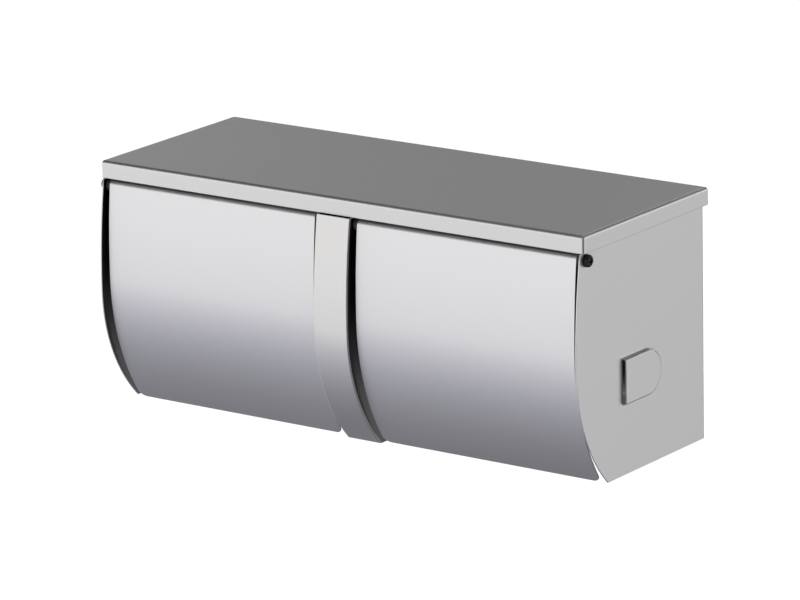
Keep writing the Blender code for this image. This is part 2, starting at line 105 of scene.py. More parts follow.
CAD_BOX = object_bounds()
NODE_BODY = {node: body for body, nodes in frame["record"]["behaviour"]["bodies"].items()
             for node in nodes}
TRAY_LOW, TRAY_HIGH = node_box("shelf_tray")
BODY_LOW, BODY_HIGH = node_box("body_shell")
DIVIDER_LOW, DIVIDER_HIGH = node_box("centre_divider")
COVER_LOW, COVER_HIGH = node_box("right_cover")
HINGE = joint_place("right_cover_hinge")
ROLLER = joint_place("right_roller_spin")
TOP_Z, LIP_Z, LIP_Y = TRAY_HIGH[2], TRAY_LOW[2], TRAY_LOW[1]
FOOT_Z = BODY_LOW[2]
CHEEK_X = DIVIDER_HIGH[0]  # outer face of the divider's cheeks


# Settings -----------------------------------------------------------------------------------

def length(name, description, millimetres):
    return FloatProperty(name=name, description=description, default=millimetres * MM,
                         unit="LENGTH", subtype="DISTANCE", precision=5)


def angle(name, description, degrees):
    return FloatProperty(name=name, description=description, default=math.radians(degrees),
                         unit="ROTATION", subtype="ANGLE")


def colour(name, description, red, green, blue):
    return FloatVectorProperty(name=name, description=description, default=(red, green, blue),
                               subtype="COLOR", size=3, min=0, max=1)


def factor(name, description, value):
    return FloatProperty(name=name, description=description, default=value, subtype="FACTOR",
                         min=0, max=1)


class HolderSheetSettings(bpy.types.PropertyGroup):
    """Sheet metal of the shelf, the body and the divider"""
    sheet: length("Sheet", "Thickness of the sheet", 0.8)
    deburr: length("Edge rounding", "Radius left by deburring the cut edges", 0.2)
    lip_bend: length("Lip bend", "Outer radius of the shelf's bends", 1.6)
    corner: length("Shelf corner", "Outer radius of the shelf's welded corners in plan", 1.6)
    weld_bulge: length("Weld bulge", "How far the welded ends stand out beyond the shelf's width", 0.4)
    back_bend: length("Back bend", "Outer radius between the back panel and a side plate", 2.2)
    web_bend: length("Web bend", "Outer radius along the divider's front edges", 0.9)
    web_proud: length("Web proud", "How far the divider's front stands ahead of the plates' edge", 1.0)
    flange_bend: length("Flange bend", "Outer radius of the divider's rear flanges", 1.6)
    flange_slot: length("Flange slot", "Space between the divider's rear flanges", 8.0)
    apex_drop: length("Apex drop", "Shelf top to the fullest point of the plates' front edge", 68.0)
    top_proud: length("Top proud", "How far the plates stand ahead of the lip, just below it", 0.6)
    foot_setback: length("Foot setback", "Fullest point back to the bottom corner", 27.0)
    pocket_radius: length("Pocket radius", "Round end of the raised roller pockets", 12.5)
    pocket_straight: length("Pocket straight", "From the round end's centre to the open mouth", 20.6)
    pocket_rise: length("Pocket rise", "Height of the pressed pockets", 2.3)
    pocket_drop: length("Pocket drop", "Shelf top to the middle of the pockets", 83.0)
    pocket_foot: length("Pocket foot radius", "Hollow radius where a pocket leaves the plate", 0.3)
    pocket_crown: length("Pocket crown radius", "Round radius along a pocket's crown", 0.6)
    pocket_draft: angle("Pocket draft", "Slope of the pressed walls against the plate", 72)
    seat_radius: length("Seat radius", "Foot of the pressed screw seats", 9.0)
    seat_rise: length("Seat rise", "Height of the pressed screw seats", 2.3)
    seat_foot: length("Seat foot radius", "Hollow radius where a seat leaves the back", 1.0)
    seat_crown: length("Seat crown radius", "Round radius along a seat's crown", 1.0)
    seat_draft: angle("Seat draft", "Slope of a seat's wall against the back", 58)
    seat_hole: length("Seat hole", "Radius of the hole for a wall screw", 2.5)
    seat_spacing: length("Seat spacing", "Between the left and right screw seats", 210.0)
    seat_drop: length("Seat drop", "Shelf top to the upper screw seats", 31.0)
    seat_step: length("Seat step", "Between the upper and lower screw seats", 76.0)
    hinge_hole: length("Hinge hole", "Radius of the side plates' holes for the hinge screws", 1.55)
    pilot_hole: length("Pilot hole", "Radius of the divider's holes for the hinge rods", 1.7)


class HolderCoverSettings(bpy.types.PropertyGroup):
    """Bowed covers and the curls that turn round the hinge rods"""
    sheet: length("Sheet", "Thickness of the covers", 0.6)
    deburr: length("Edge rounding", "Radius left by deburring the cut edges", 0.14)
    barrel: length("Curl radius", "Outside of the curl round the hinge rod", 3.3)
    curl: angle("Curl", "How far the sheet turns round the rod", 285)
    apex_drop: length("Apex drop", "Shelf top to a cover's fullest point", 62.0)
    foot_proud: length("Foot proud", "How far a cover's foot stands ahead of the plates' corner", 1.3)
    corner: length("Corner radius", "Round lower corners", 4.5)


class HolderHingeSettings(bpy.types.PropertyGroup):
    """Rods, screws, washers and spacers of the hinges"""
    rod: length("Rod radius", "Hinge rod", 2.4)
    pilot: length("Pilot radius", "Thin end of the rod, in the divider's cheek", 1.4)
    pilot_length: length("Pilot length", "Length of the rod's thin end", 2.7)
    bore: length("Bore radius", "Threaded bore in the rod's end", 1.55)
    chamfer: length("Chamfer", "Broken edges of turned pieces", 0.3)
    shank: length("Shank radius", "Screw thread, at its crests", 1.25)
    thread_depth: length("Thread depth", "Crest to root", 0.18)
    thread_pitch: length("Thread pitch", "Rise in one turn", 0.5)
    head: length("Head radius", "Screw head", 3.2)
    head_height: length("Head height", "Seat to the top of the crown", 2.4)
    head_dome: length("Crown height", "Height of the rounded crown", 1.75)
    recess_arm: length("Recess arm", "Centre of the cross recess to the end of an arm", 2.0)
    recess_width: length("Recess half width", "Half the width of an arm", 0.48)
    recess_depth: length("Recess depth", "Depth of the cross recess", 1.3)


class HolderRollerSettings(bpy.types.PropertyGroup):
    """Telescoping rollers, their plugs and springs"""
    wall: length("Tube wall", "Thickness of both tubes", 0.8)
    lip: length("Tube lip", "Rounding of the tubes' ends", 0.2)
    bead: length("Bead depth", "Groove rolled into the wide tube", 0.45)
    bead_width: length("Bead width", "Length of the groove along the tube", 2.2)
    bead_place: length("Bead place", "Open end to the middle of the groove", 6.0)
    nub: length("Nub radius", "Round end that sits in a pocket", 10.5)
    flange: length("Plug flange", "Thickness of the flange against the tube's end", 2.0)
    clearance: length("Clearance", "Space between sliding pieces", 0.3)
    side_gap: length("Side gap", "Between a plug's flange and the wall of the bay", 1.1)
    wire: length("Wire radius", "Spring wire", 0.6)
    coil: length("Coil radius", "Axis to the middle of the wire", 8.4)
    turns: IntProperty(name="Turns", description="Open turns of each spring", default=11, min=3)


class HolderFinishSettings(bpy.types.PropertyGroup):
    """Colours and roughness of the finishes"""
    steel: colour("Sheet steel", "Satin stainless sheet", 0.72, 0.718, 0.716)
    cover: colour("Cover steel", "Bright satin stainless sheet", 0.73, 0.728, 0.726)
    rod: colour("Rod steel", "Drawn stainless rod", 0.60, 0.60, 0.59)
    tube: colour("Tube steel", "Polished stainless tube", 0.68, 0.68, 0.67)
    wire: colour("Spring wire", "Drawn spring wire", 0.52, 0.52, 0.50)
    black: colour("Black plating", "Plated screws and washers", 0.012, 0.012, 0.012)
    nylon: colour("Black nylon", "Hinge spacers", 0.022, 0.022, 0.023)
    plug: colour("Plug plastic", "Moulded roller plugs", 0.62, 0.62, 0.60)
    # inside is painted shade: a dark steel colour for the faces toward the bays and for the pockets' rear and
    # lower walls, standing for the shade that falls there.
    inside: colour("Inside", "Mill finish of the faces toward the bays", 0.13, 0.128, 0.125)
    steel_roughness: factor("Steel roughness", "Satin sheet between its brush lines", 0.06)
    inside_roughness: factor("Inside roughness", "Mill finish of the faces toward the bays", 0.34)
    rod_roughness: factor("Rod roughness", "Hinge rods", 0.24)
    tube_roughness: factor("Tube roughness", "Roller tubes", 0.18)
    wire_roughness: factor("Wire roughness", "Spring wire", 0.26)
    nylon_roughness: factor("Nylon roughness", "Hinge spacers", 0.48)
    plug_roughness: factor("Plug roughness", "Roller plugs", 0.42)


class HolderStudioSettings(bpy.types.PropertyGroup):
    """Camera, floor and light"""
    azimuth: angle("Azimuth", "Camera's turn round the holder, to the right", 35.84)
    elevation: angle("Elevation", "Camera's height above the horizon", 15.5)
    roll: angle("Roll", "Camera's turn about its line of sight", -1.27)
    distance: length("Distance", "Camera to the middle of the holder", 2728.2)
    lens: FloatProperty(name="Lens", description="Focal length on a 36 mm wide sensor",
                        default=238.6, unit="CAMERA", min=1)
    floor_drop: length("Floor drop", "Floor below the middle of the holder", 4000.0)


SETTINGS = {
    "holder_sheet": HolderSheetSettings,
    "holder_cover": HolderCoverSettings,
    "holder_hinge": HolderHingeSettings,
    "holder_roller": HolderRollerSettings,
    "holder_finish": HolderFinishSettings,
    "holder_studio": HolderStudioSettings,
}


# Curves -------------------------------------------------------------------------------------

def arc(centre, radius, start, end, steps):
    """Points centre + radius (cos t, sin t), with t going from start to end in equal steps."""
    t = np.linspace(start, end, steps + 1)
    return np.stack([centre[0] + radius * np.cos(t), centre[1] + radius * np.sin(t)], -1)


def chord_radius(run, sagitta):
    """Radius of an arc that leaves its tangent by sagitta after run: (run^2 + s^2) / 2s."""
    return (run * run + sagitta * sagitta) / (2 * sagitta)


class Bow:
    """Front profile y(z) = apex_y + R - sqrt(R^2 - (z - apex_z)^2).

    R is one radius above the apex and a smaller one below it, so the profile is smooth there.
    """

    def __init__(self, apex_y, apex_z, upper, lower):
        self.apex_y, self.apex_z, self.upper, self.lower = apex_y, apex_z, upper, lower

    def points(self, z):
        z = np.asarray(z, float)
        radius = np.where(z > self.apex_z, self.upper, self.lower)
        return np.stack([self.apex_y + radius - np.sqrt(radius ** 2 - (z - self.apex_z) ** 2), z], -1)

    def down(self, top, bottom, upper_steps=10, lower_steps=34):
        """Heights from top to bottom, with the apex among them."""
        upper = np.linspace(top, self.apex_z, upper_steps + 1)
        return np.concatenate([upper, np.linspace(self.apex_z, bottom, lower_steps + 1)[1:]])


def plate_bow(sheet, foot=FOOT_Z, ahead=0.0):
    """Front edge of the side plates or, with its own foot and standing ahead, of the divider."""
    apex_y, apex_z = BODY_LOW[1], TOP_Z - sheet.apex_drop
    upper = chord_radius(LIP_Z - apex_z, LIP_Y - sheet.top_proud - apex_y)
    return Bow(apex_y - ahead, apex_z, upper, chord_radius(apex_z - foot, sheet.foot_setback))


def cover_bow(sheet, cover):
    """Outer face of a cover, with its upper arc tangent to the curl round the rod."""
    apex_y, apex_z = COVER_LOW[1], TOP_Z - cover.apex_drop
    behind, above = HINGE[1] - apex_y, HINGE[2] - apex_z
    upper = (behind ** 2 + above ** 2 - cover.barrel ** 2) / (2 * (behind - cover.barrel))
    foot_y = plate_bow(sheet).points(FOOT_Z)[0] - cover.foot_proud
    return Bow(apex_y, apex_z, upper, chord_radius(apex_z - COVER_LOW[2], foot_y - apex_y))


def press_profile(rise, foot, crown, draft, steps=5):
    """Inset and height of a pressed wall, from its foot to its crown.

    A hollow arc of radius foot turns up to the draft angle, a straight wall carries on, and a
    round arc of radius crown turns level again at the height rise.
    """
    turn = np.linspace(0, draft, steps + 1)
    hollow = np.stack([foot * np.sin(turn), foot * (1 - np.cos(turn))], -1)
    wall = (rise - (foot + crown) * (1 - math.cos(draft))) / math.sin(draft)
    start = hollow[-1] + wall * np.array([math.cos(draft), math.sin(draft)])
    back = draft - turn
    rounded = start + crown * np.stack([math.sin(draft) - np.sin(back), np.cos(back) - math.cos(draft)], -1)
    return np.concatenate([hollow, rounded])


# Surfaces -----------------------------------------------------------------------------------

def grid_faces(rows, columns, wrap_rows=False, wrap_columns=False):
    """Quads between the points of a rows by columns grid, closed where it wraps round."""
    row = np.arange(rows if wrap_rows else rows - 1)[:, None]
    column = np.arange(columns if wrap_columns else columns - 1)[None]
    below, right = (row + 1) % rows, (column + 1) % columns
    corners = [row * columns + column, below * columns + column, below * columns + right,
               row * columns + right]
    shape = (len(row), column.size)
    return np.stack([np.broadcast_to(corner, shape) for corner in corners], -1).reshape(-1, 4)


def face_normals(points, faces):
    """Twice the area times the normal of each quad or triangle."""
    first, second = points[faces[:, 2]] - points[faces[:, 0]], points[faces[:, -1]] - points[faces[:, 1]]
    return np.cross(first, second)


def turned_over(faces):
    return faces[:, ::-1]


def weld(points, face_sets):
    """Merges points that coincide and drops what collapses: a quad may become a triangle.

    Points are one where they fall in one cell. The shift keeps round sizes off the cells' edges.
    """
    keys = np.floor(points / WELD + 0.37).astype(np.int64)
    _, first, index = np.unique(keys, axis=0, return_index=True, return_inverse=True)
    index = index.reshape(-1)
    kept, origin = [], []
    for number, faces in enumerate(face_sets):
        faces = index[faces]
        repeats = faces == np.roll(faces, -1, axis=1)
        kept.append(faces[~repeats.any(1)])
        origin.append(number)
        if faces.shape[1] == 4:
            once = faces[repeats.sum(1) == 1]
            drop = (once == np.roll(once, -1, axis=1)).argmax(1)
            kept.append(once[np.arange(4) != drop[:, None]].reshape(-1, 3))
            origin.append(number)
    return points[first], kept, first, origin


class Skin:
    """Outer face of a sheet piece, gathered from patches that share their edge points.

    blank holds each point's place on the flat sheet before bending, for the brush lines.
    """

    def __init__(self):
        self.points, self.blank, self.faces, self.dull, self.count = [], [], [], [], 0

    def add(self, points, faces, blank, outward, dull=0):
        """outward is the way the patch faces, a vector or a function of a point on it.

        The last argument is 1 where the outer face looks into a bay: there the sheet takes a rougher steel
        painted dark as shade.
        """
        points, blank = points.reshape(-1, 3), blank.reshape(-1, 2)
        normals = face_normals(points, faces)
        largest = np.linalg.norm(normals, axis=1).argmax()
        way = outward(points[faces[largest]].mean(0)) if callable(outward) else outward
        if normals[largest] @ way < 0:
            faces = turned_over(faces)
        self.points.append(points)
        self.blank.append(blank)
        self.faces.append(faces + self.count)
        self.dull.append(dull)
        self.count += len(points)

    def grid(self, points, blank, outward, wrap_columns=False, dull=0):
        rows, columns = points.shape[:2]
        self.add(points, grid_faces(rows, columns, wrap_columns=wrap_columns), blank, outward, dull)

    def fill(self, outline, holes, place, blank, outward, dull=0):
        """Flat region of the plane inside an outline and outside its holes."""
        loops = [outline, *holes]
        flat = np.concatenate(loops)
        ends = np.cumsum([0] + [len(loop) for loop in loops]).tolist()
        rounds = [list(range(start, end)) for start, end in zip(ends, ends[1:])]
        corners = [Vector(point) for point in flat / MM]
        _, _, triangles, source, _, _ = delaunay_2d_cdt(corners, [], rounds, 2, 1e-5)
        source = np.array([ids[0] for ids in source])
        self.add(place(flat), source[np.array(triangles)], blank(flat), outward, dull)

    def thick(self, thickness, deburr):
        """The closed sheet whose outer face this is.

        The inner face is the outer one moved back along its normals by the thickness. Along the
        rim, quarter circles of the deburr radius join both faces to a straight band.
        """
        points, faces, first, origin = weld(np.concatenate(self.points), self.faces)
        blank = np.concatenate(self.blank)[first]
        normals = np.zeros_like(points)
        for some in faces:
            weights = face_normals(points, some)
            for corner in range(some.shape[1]):
                np.add.at(normals, some[:, corner], weights)
        normals /= np.linalg.norm(normals, axis=1, keepdims=True)
        count = len(points)
        edges = np.concatenate([np.stack([some, np.roll(some, -1, axis=1)], -1).reshape(-1, 2)
                                for some in faces])
        open_edge = ~np.isin(edges[:, 0] * count + edges[:, 1], edges[:, 1] * count + edges[:, 0])
        start, end = edges[open_edge].T
        after, before = np.zeros(count, int), np.zeros(count, int)
        after[start], before[end] = end, start
        forward = unit(points[after[start]] - points[start])
        backward = unit(points[start] - points[before[start]])
        out_forward = unit(np.cross(forward, normals[start]))
        out_backward = unit(np.cross(backward, normals[start]))
        bend = np.maximum(1 + (out_forward * out_backward).sum(1, keepdims=True), 0.5)
        outward = (out_forward + out_backward) / bend
        rim, normal = points[start], normals[start]
        inset = rim - deburr * outward
        outer, inner = points.copy(), points - thickness * normals
        outer[start], inner[start] = inset, inset - thickness * normal
        rings = []
        for t in (math.pi / 6, math.pi / 3, math.pi / 2):
            across, down = deburr * math.sin(t), deburr * (1 - math.cos(t))
            rings.append((inset + across * outward, down))
        layers = [place - down * normal for place, down in rings]
        layers += [place - (thickness - down) * normal for place, down in rings[::-1]]
        ring_of = np.zeros(count, int)
        ring_of[start] = np.arange(len(start))
        here, there = ring_of[start], ring_of[end]
        bands = [start] + [2 * count + k * len(start) + here for k in range(len(layers))] + [start + count]
        nexts = [end] + [2 * count + k * len(start) + there for k in range(len(layers))] + [end + count]
        strips = [np.stack([nexts[k], bands[k], bands[k + 1], nexts[k + 1]], -1)
                  for k in range(len(bands) - 1)]
        every = np.concatenate([outer, inner, *layers])
        flat = np.concatenate([blank, blank, *[blank[start]] * len(layers)])
        # Outer faces toward a bay and every inner face take the rougher steel painted dark as shade; the
        # rounded rims keep the polished steel.
        dull = [self.dull[number] for number in origin] + [1] * len(faces) + [0] * len(strips)
        return every, [*faces, *[turned_over(some) + count for some in faces], *strips], flat, dull


def unit(vectors):
    size = np.linalg.norm(vectors, axis=-1, keepdims=True)
    return vectors / np.maximum(size, 1e-12)


def volume(points, faces):
    """Signed volume inside closed faces: positive when they point outwards."""
    total = 0.0
    for corner in range(1, faces.shape[1] - 1):
        a, b, c = points[faces[:, 0]], points[faces[:, corner]], points[faces[:, corner + 1]]
        total += (a * np.cross(b, c)).sum() / 6
    return total


def turned(profile, side, centre, steps=72, ring=False):
    """A profile of (radius, distance) turned about an axis along X.

    P(i, t) = (side d_i, y + r_i cos t, z + r_i sin t). A ring's profile is closed; any other
    starts and ends on the axis.
    """
    t = np.arange(steps) * 2 * math.pi / steps
    radius, along = np.asarray(profile, float).T[..., None]
    points = np.stack([side * along + 0 * t, centre[0] + radius * np.cos(t),
                       centre[1] + radius * np.sin(t)], -1)
    faces = grid_faces(len(profile), steps, wrap_rows=ring, wrap_columns=True)
    return closed(points.reshape(-1, 3), [faces])


def closed(points, face_sets):
    """Welds closed faces and turns them outwards."""
    points, faces, _, _ = weld(points, face_sets)
    if sum(volume(points, some) for some in faces) < 0:
        faces = [turned_over(some) for some in faces]
    return points, faces


def rounded_profile(corners, radius, steps=4, ring=False):
    """A profile whose corners are broken by arcs of a radius, but for the ends of an open one."""
    corners = np.asarray(corners, float)
    count = len(corners)
    made = []
    for i in range(count):
        if not ring and i in (0, count - 1):
            made.append(corners[i:i + 1])
            continue
        before, here, after = corners[i - 1], corners[i], corners[(i + 1) % count]
        back, on = unit(before - here), unit(after - here)
        reach = min(radius, 0.45 * np.linalg.norm(before - here), 0.45 * np.linalg.norm(after - here))
        t = np.linspace(0, 1, steps + 1)[:, None]
        made.append(here + reach * (back * (1 - t) ** 2 + on * t ** 2))
    return np.concatenate(made)


def add_piece(node, points, faces, surfaces, blank=None, which=None):
    """Makes the mesh object that stands for a frame node. which numbers each face set's surface."""
    corners = np.concatenate([some.ravel() for some in faces])
    sizes = np.concatenate([np.full(len(some), some.shape[1]) for some in faces])
    mesh = bpy.data.meshes.new(node + "_fine")
    mesh.vertices.add(len(points))
    mesh.vertices.foreach_set("co", points.astype(np.float32).ravel())
    mesh.loops.add(len(corners))
    mesh.loops.foreach_set("vertex_index", corners.astype(np.int32))
    mesh.polygons.add(len(sizes))
    mesh.polygons.foreach_set("loop_start", (np.cumsum(sizes) - sizes).astype(np.int32))
    mesh.update(calc_edges=True)
    if blank is not None:
        layer = mesh.uv_layers.new(name="blank")
        layer.data.foreach_set("uv", blank[corners].astype(np.float32).ravel())
    if mesh.validate():
        raise RuntimeError(f"the surface of {node} has faults")
    mesh.shade_smooth()
    for surface in surfaces:
        mesh.materials.append(surface)
    if which is not None:
        numbers = np.concatenate([np.full(len(some), number) for some, number in zip(faces, which)])
        mesh.polygons.foreach_set("material_index", numbers.astype(np.int32))
    piece = bpy.data.objects.new(node + "_fine", mesh)
    bpy.context.scene.collection.objects.link(piece)
    crisp = piece.modifiers.new("Face weighted normals", "WEIGHTED_NORMAL")
    crisp.keep_sharp = True
    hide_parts(node)
    return piece


def add_riding(node, points, faces, *surfaces):
    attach(add_piece(node, points, faces, surfaces), NODE_BODY[node])


def add_sheet(node, skin, thickness, deburr, surfaces):
    """Adds a sheet piece: its polished face and edges, and its faces toward a bay in a rougher steel painted
    dark as shade.
    """
    points, faces, blank, dull = skin.thick(thickness, deburr)
    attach(add_piece(node, points, faces, surfaces, blank, dull), NODE_BODY[node])


# Materials ----------------------------------------------------------------------------------

class Nodes:
    """Short calls that add nodes to a tree and link them."""

    def __init__(self, tree):
        self.tree = tree

    def add(self, kind, inputs=(), **attributes):
        """inputs maps a socket's name or number to a value or to another node's output."""
        made = self.tree.nodes.new(kind)
        for name, value in attributes.items():
            setattr(made, name, value)
        for name, value in dict(inputs).items():
            if isinstance(value, bpy.types.NodeSocket):
                self.tree.links.new(value, made.inputs[name])
            else:
                made.inputs[name].default_value = value
        return made

    def math(self, operation, first, second=0.0, third=0.0):
        return self.add("ShaderNodeMath", {0: first, 1: second, 2: third}, operation=operation).outputs[0]

    def remap(self, value, low, high, to_low, to_high, smooth=False):
        kind = "SMOOTHSTEP" if smooth else "LINEAR"
        return self.add("ShaderNodeMapRange", {"Value": value, "From Min": low, "From Max": high,
                                               "To Min": to_low, "To Max": to_high},
                        interpolation_type=kind).outputs["Result"]

    def noise(self, vector, scale=1.0, detail=4.0, rough=0.55):
        return self.add("ShaderNodeTexNoise", {"Vector": vector, "Scale": scale, "Detail": detail,
                                               "Roughness": rough}).outputs["Fac"]

    def stretch(self, vector, size):
        """Divides a place by a size along each axis, so that noise on it has grains of that size."""
        return self.add("ShaderNodeVectorMath", {0: vector, 1: size}, operation="DIVIDE").outputs[0]


def new_group(name, inputs, outputs):
    """A node group with named sockets: its helper, its inputs and its output node."""
    tree = bpy.data.node_groups.new(name, "ShaderNodeTree")
    for socket, kind, default in inputs:
        made = tree.interface.new_socket(socket, in_out="INPUT", socket_type=kind)
        if default is not None:
            made.default_value = default
    for socket in outputs:
        tree.interface.new_socket(socket, in_out="OUTPUT", socket_type="NodeSocketFloat")
    nodes = Nodes(tree)
    return nodes, nodes.add("NodeGroupInput").outputs, nodes.add("NodeGroupOutput").inputs


def brush_lines_group():
    """Straight scratches of a brushed sheet: fine ones over coarser, longer ones."""
    name = "brush_lines"
    if name in bpy.data.node_groups:
        return bpy.data.node_groups[name]
    nodes, given, made = new_group(name, (("Blank", "NodeSocketVector", None),
                                          ("Line length", "NodeSocketFloat", 0.02),
                                          ("Line width", "NodeSocketFloat", 0.00018)),
                                   ("Lines", "Height"))
    parts = []
    for longer, detail in ((1.0, 3.0), (6.0, 4.0)):
        size = nodes.add("ShaderNodeCombineXYZ", {"X": nodes.math("MULTIPLY", given["Line length"], longer),
                                                  "Y": nodes.math("MULTIPLY", given["Line width"], longer),
                                                  "Z": 1.0}).outputs[0]
        parts.append(nodes.noise(nodes.stretch(given["Blank"], size), detail=detail))
    mixed = nodes.math("MULTIPLY_ADD", parts[1], 0.45, nodes.math("MULTIPLY", parts[0], 0.55))
    nodes.tree.links.new(nodes.remap(mixed, 0.36, 0.64, 0.0, 1.0), made["Lines"])
    nodes.tree.links.new(mixed, made["Height"])
    return nodes.tree


def handling_group():
    """Faint cloudy marks that wiping leaves, between 0 and 1."""
    name = "handling_marks"
    if name in bpy.data.node_groups:
        return bpy.data.node_groups[name]
    nodes, given, made = new_group(name, (("Place", "NodeSocketVector", None),
                                          ("Size", "NodeSocketFloat", 0.05)), ("Marks",))
    size = nodes.add("ShaderNodeCombineXYZ", {"X": nodes.math("MULTIPLY", given["Size"], 2.0),
                                              "Y": given["Size"], "Z": given["Size"]}).outputs[0]
    cloud = nodes.noise(nodes.stretch(given["Place"], size), detail=5.0, rough=0.5)
    nodes.tree.links.new(nodes.remap(cloud, 0.35, 0.68, 0.0, 1.0, smooth=True), made["Marks"])
    return nodes.tree


def turning_group():
    """Fine rings that turning or drawing leaves round an axis along X."""
    name = "turning_rings"
    if name in bpy.data.node_groups:
        return bpy.data.node_groups[name]
    nodes, given, made = new_group(name, (("Place", "NodeSocketVector", None),
                                          ("Ring width", "NodeSocketFloat", 0.0002)),
                                   ("Rings",))
    size = nodes.add("ShaderNodeCombineXYZ", {"X": given["Ring width"], "Y": 0.02, "Z": 0.02}).outputs[0]
    rings = nodes.noise(nodes.stretch(given["Place"], size), detail=3.0)
    nodes.tree.links.new(nodes.remap(rings, 0.35, 0.65, 0.0, 1.0), made["Rings"])
    return nodes.tree


def moulded_group():
    """Fine eroded grain of a moulded plastic."""
    name = "moulded_grain"
    if name in bpy.data.node_groups:
        return bpy.data.node_groups[name]
    nodes, given, made = new_group(name, (("Place", "NodeSocketVector", None),
                                          ("Grain size", "NodeSocketFloat", 0.0003)), ("Grain",))
    size = nodes.add("ShaderNodeCombineXYZ", {"X": given["Grain size"], "Y": given["Grain size"],
                                              "Z": given["Grain size"]}).outputs[0]
    nodes.tree.links.new(nodes.noise(nodes.stretch(given["Place"], size), detail=4.0, rough=0.65),
                         made["Grain"])
    return nodes.tree


def new_material(name):
    """An empty material: its helper, its Principled shader and its place coordinates."""
    surface = bpy.data.materials.get(name)
    if surface is not None:
        return surface, None, None, None
    surface = bpy.data.materials.new(name)
    surface.use_nodes = True
    nodes = Nodes(surface.node_tree)
    shader = surface.node_tree.nodes["Principled BSDF"]
    coordinates = nodes.add("ShaderNodeTexCoord").outputs
    return surface, nodes, shader, coordinates


def group_outputs(nodes, tree, inputs):
    made = nodes.add("ShaderNodeGroup", node_tree=tree)
    for name, value in inputs.items():
        if isinstance(value, bpy.types.NodeSocket):
            nodes.tree.links.new(value, made.inputs[name])
        else:
            made.inputs[name].default_value = value
    return made.outputs


def shade(tint, amount):
    return (*[channel * amount for channel in tint], 1.0)


def finish_shader(nodes, shader, toned, gloss, height, strength, depth):
    """Links the colour, the roughness and a bump of the height to the shader."""
    bump = nodes.add("ShaderNodeBump", {"Strength": strength, "Distance": depth, "Height": height})
    for socket, value in (("Base Color", toned), ("Roughness", gloss), ("Normal", bump.outputs["Normal"])):
        nodes.tree.links.new(value, shader.inputs[socket])


def satin_steel(name, tint, roughness, line_length=0.03, line_width=0.00022):
    """Brushed stainless sheet: lines along the sheet's length, faint wiping marks and satin gloss."""
    surface, nodes, shader, place = new_material(name)
    if nodes is None:
        return surface
    lines = group_outputs(nodes, brush_lines_group(), {"Blank": place["UV"], "Line length": line_length,
                                                       "Line width": line_width})
    marks = group_outputs(nodes, handling_group(), {"Place": place["Object"]})["Marks"]
    toned = nodes.add("ShaderNodeMix", {"Factor": lines["Lines"], 6: shade(tint, 0.94), 7: shade(tint, 1.0)},
                      data_type="RGBA").outputs[2]
    gloss = nodes.remap(lines["Lines"], 0.0, 1.0, roughness + 0.02, roughness - 0.01)
    gloss = nodes.math("MULTIPLY_ADD", marks, 0.015, gloss)
    shader.inputs["Metallic"].default_value = 1.0
    finish_shader(nodes, shader, toned, gloss, lines["Height"], 0.5, BRUSH_DEPTH)
    return surface


def turned_steel(name, tint, roughness, ring_width=0.00025):
    """Drawn or turned steel with fine rings round its axis."""
    surface, nodes, shader, place = new_material(name)
    if nodes is None:
        return surface
    rings = group_outputs(nodes, turning_group(), {"Place": place["Object"],
                                                   "Ring width": ring_width})["Rings"]
    marks = group_outputs(nodes, handling_group(), {"Place": place["Object"], "Size": 0.012})["Marks"]
    toned = nodes.add("ShaderNodeMix", {"Factor": rings, 6: shade(tint, 0.93), 7: shade(tint, 1.0)},
                      data_type="RGBA").outputs[2]
    gloss = nodes.math("MULTIPLY_ADD", marks, 0.05, nodes.remap(rings, 0.0, 1.0, roughness + 0.04, roughness))
    shader.inputs["Metallic"].default_value = 1.0
    finish_shader(nodes, shader, toned, gloss, rings, 0.4, TURNING_DEPTH)
    return surface


def black_plating(name, tint):
    """Black plated screw steel: glossy on the flats, with rougher specks and worn, paler high spots."""
    surface, nodes, shader, place = new_material(name)
    if nodes is None:
        return surface
    grain = group_outputs(nodes, moulded_group(), {"Place": place["Object"], "Grain size": 0.00035})["Grain"]
    marks = group_outputs(nodes, handling_group(), {"Place": place["Object"], "Size": 0.002})["Marks"]
    toned = nodes.add("ShaderNodeMix", {"Factor": marks, 6: shade(tint, 1.0), 7: shade(tint, 1.8)},
                      data_type="RGBA").outputs[2]
    gloss = nodes.remap(grain, 0.3, 0.7, 0.22, 0.36)
    shader.inputs["Coat Weight"].default_value = 0.25
    finish_shader(nodes, shader, toned, gloss, grain, 0.35, GRAIN_DEPTH / 2)
    return surface


def moulded_plastic(name, tint, roughness, grain_size=0.00035):
    """Moulded plastic: eroded grain, slight cloudiness of its colour and a soft gloss."""
    surface, nodes, shader, place = new_material(name)
    if nodes is None:
        return surface
    grain = group_outputs(nodes, moulded_group(), {"Place": place["Object"],
                                                   "Grain size": grain_size})["Grain"]
    marks = group_outputs(nodes, handling_group(), {"Place": place["Object"], "Size": 0.006})["Marks"]
    toned = nodes.add("ShaderNodeMix", {"Factor": marks, 6: shade(tint, 0.92), 7: shade(tint, 1.0)},
                      data_type="RGBA").outputs[2]
    gloss = nodes.remap(grain, 0.3, 0.7, roughness - 0.06, roughness + 0.08)
    finish_shader(nodes, shader, toned, gloss, grain, 0.5, GRAIN_DEPTH)
    return surface


# Sheet pieces -------------------------------------------------------------------------------

def round_rectangle(low, high, radius, inset, steps=8):
    """Plan outline with corners of radius - inset, drawn anticlockwise from the right rear one."""
    corners = []
    turns = ((high[0], high[1]), (low[0], high[1]), (low[0], low[1]), (high[0], low[1]))
    for k, (x, y) in enumerate(turns):
        centre = (x - math.copysign(radius, x - (low[0] + high[0]) / 2),
                  y - math.copysign(radius, y - (low[1] + high[1]) / 2))
        corners.append(arc(centre, radius - inset, k * math.pi / 2, (k + 1) * math.pi / 2, steps))
    return np.concatenate(corners)


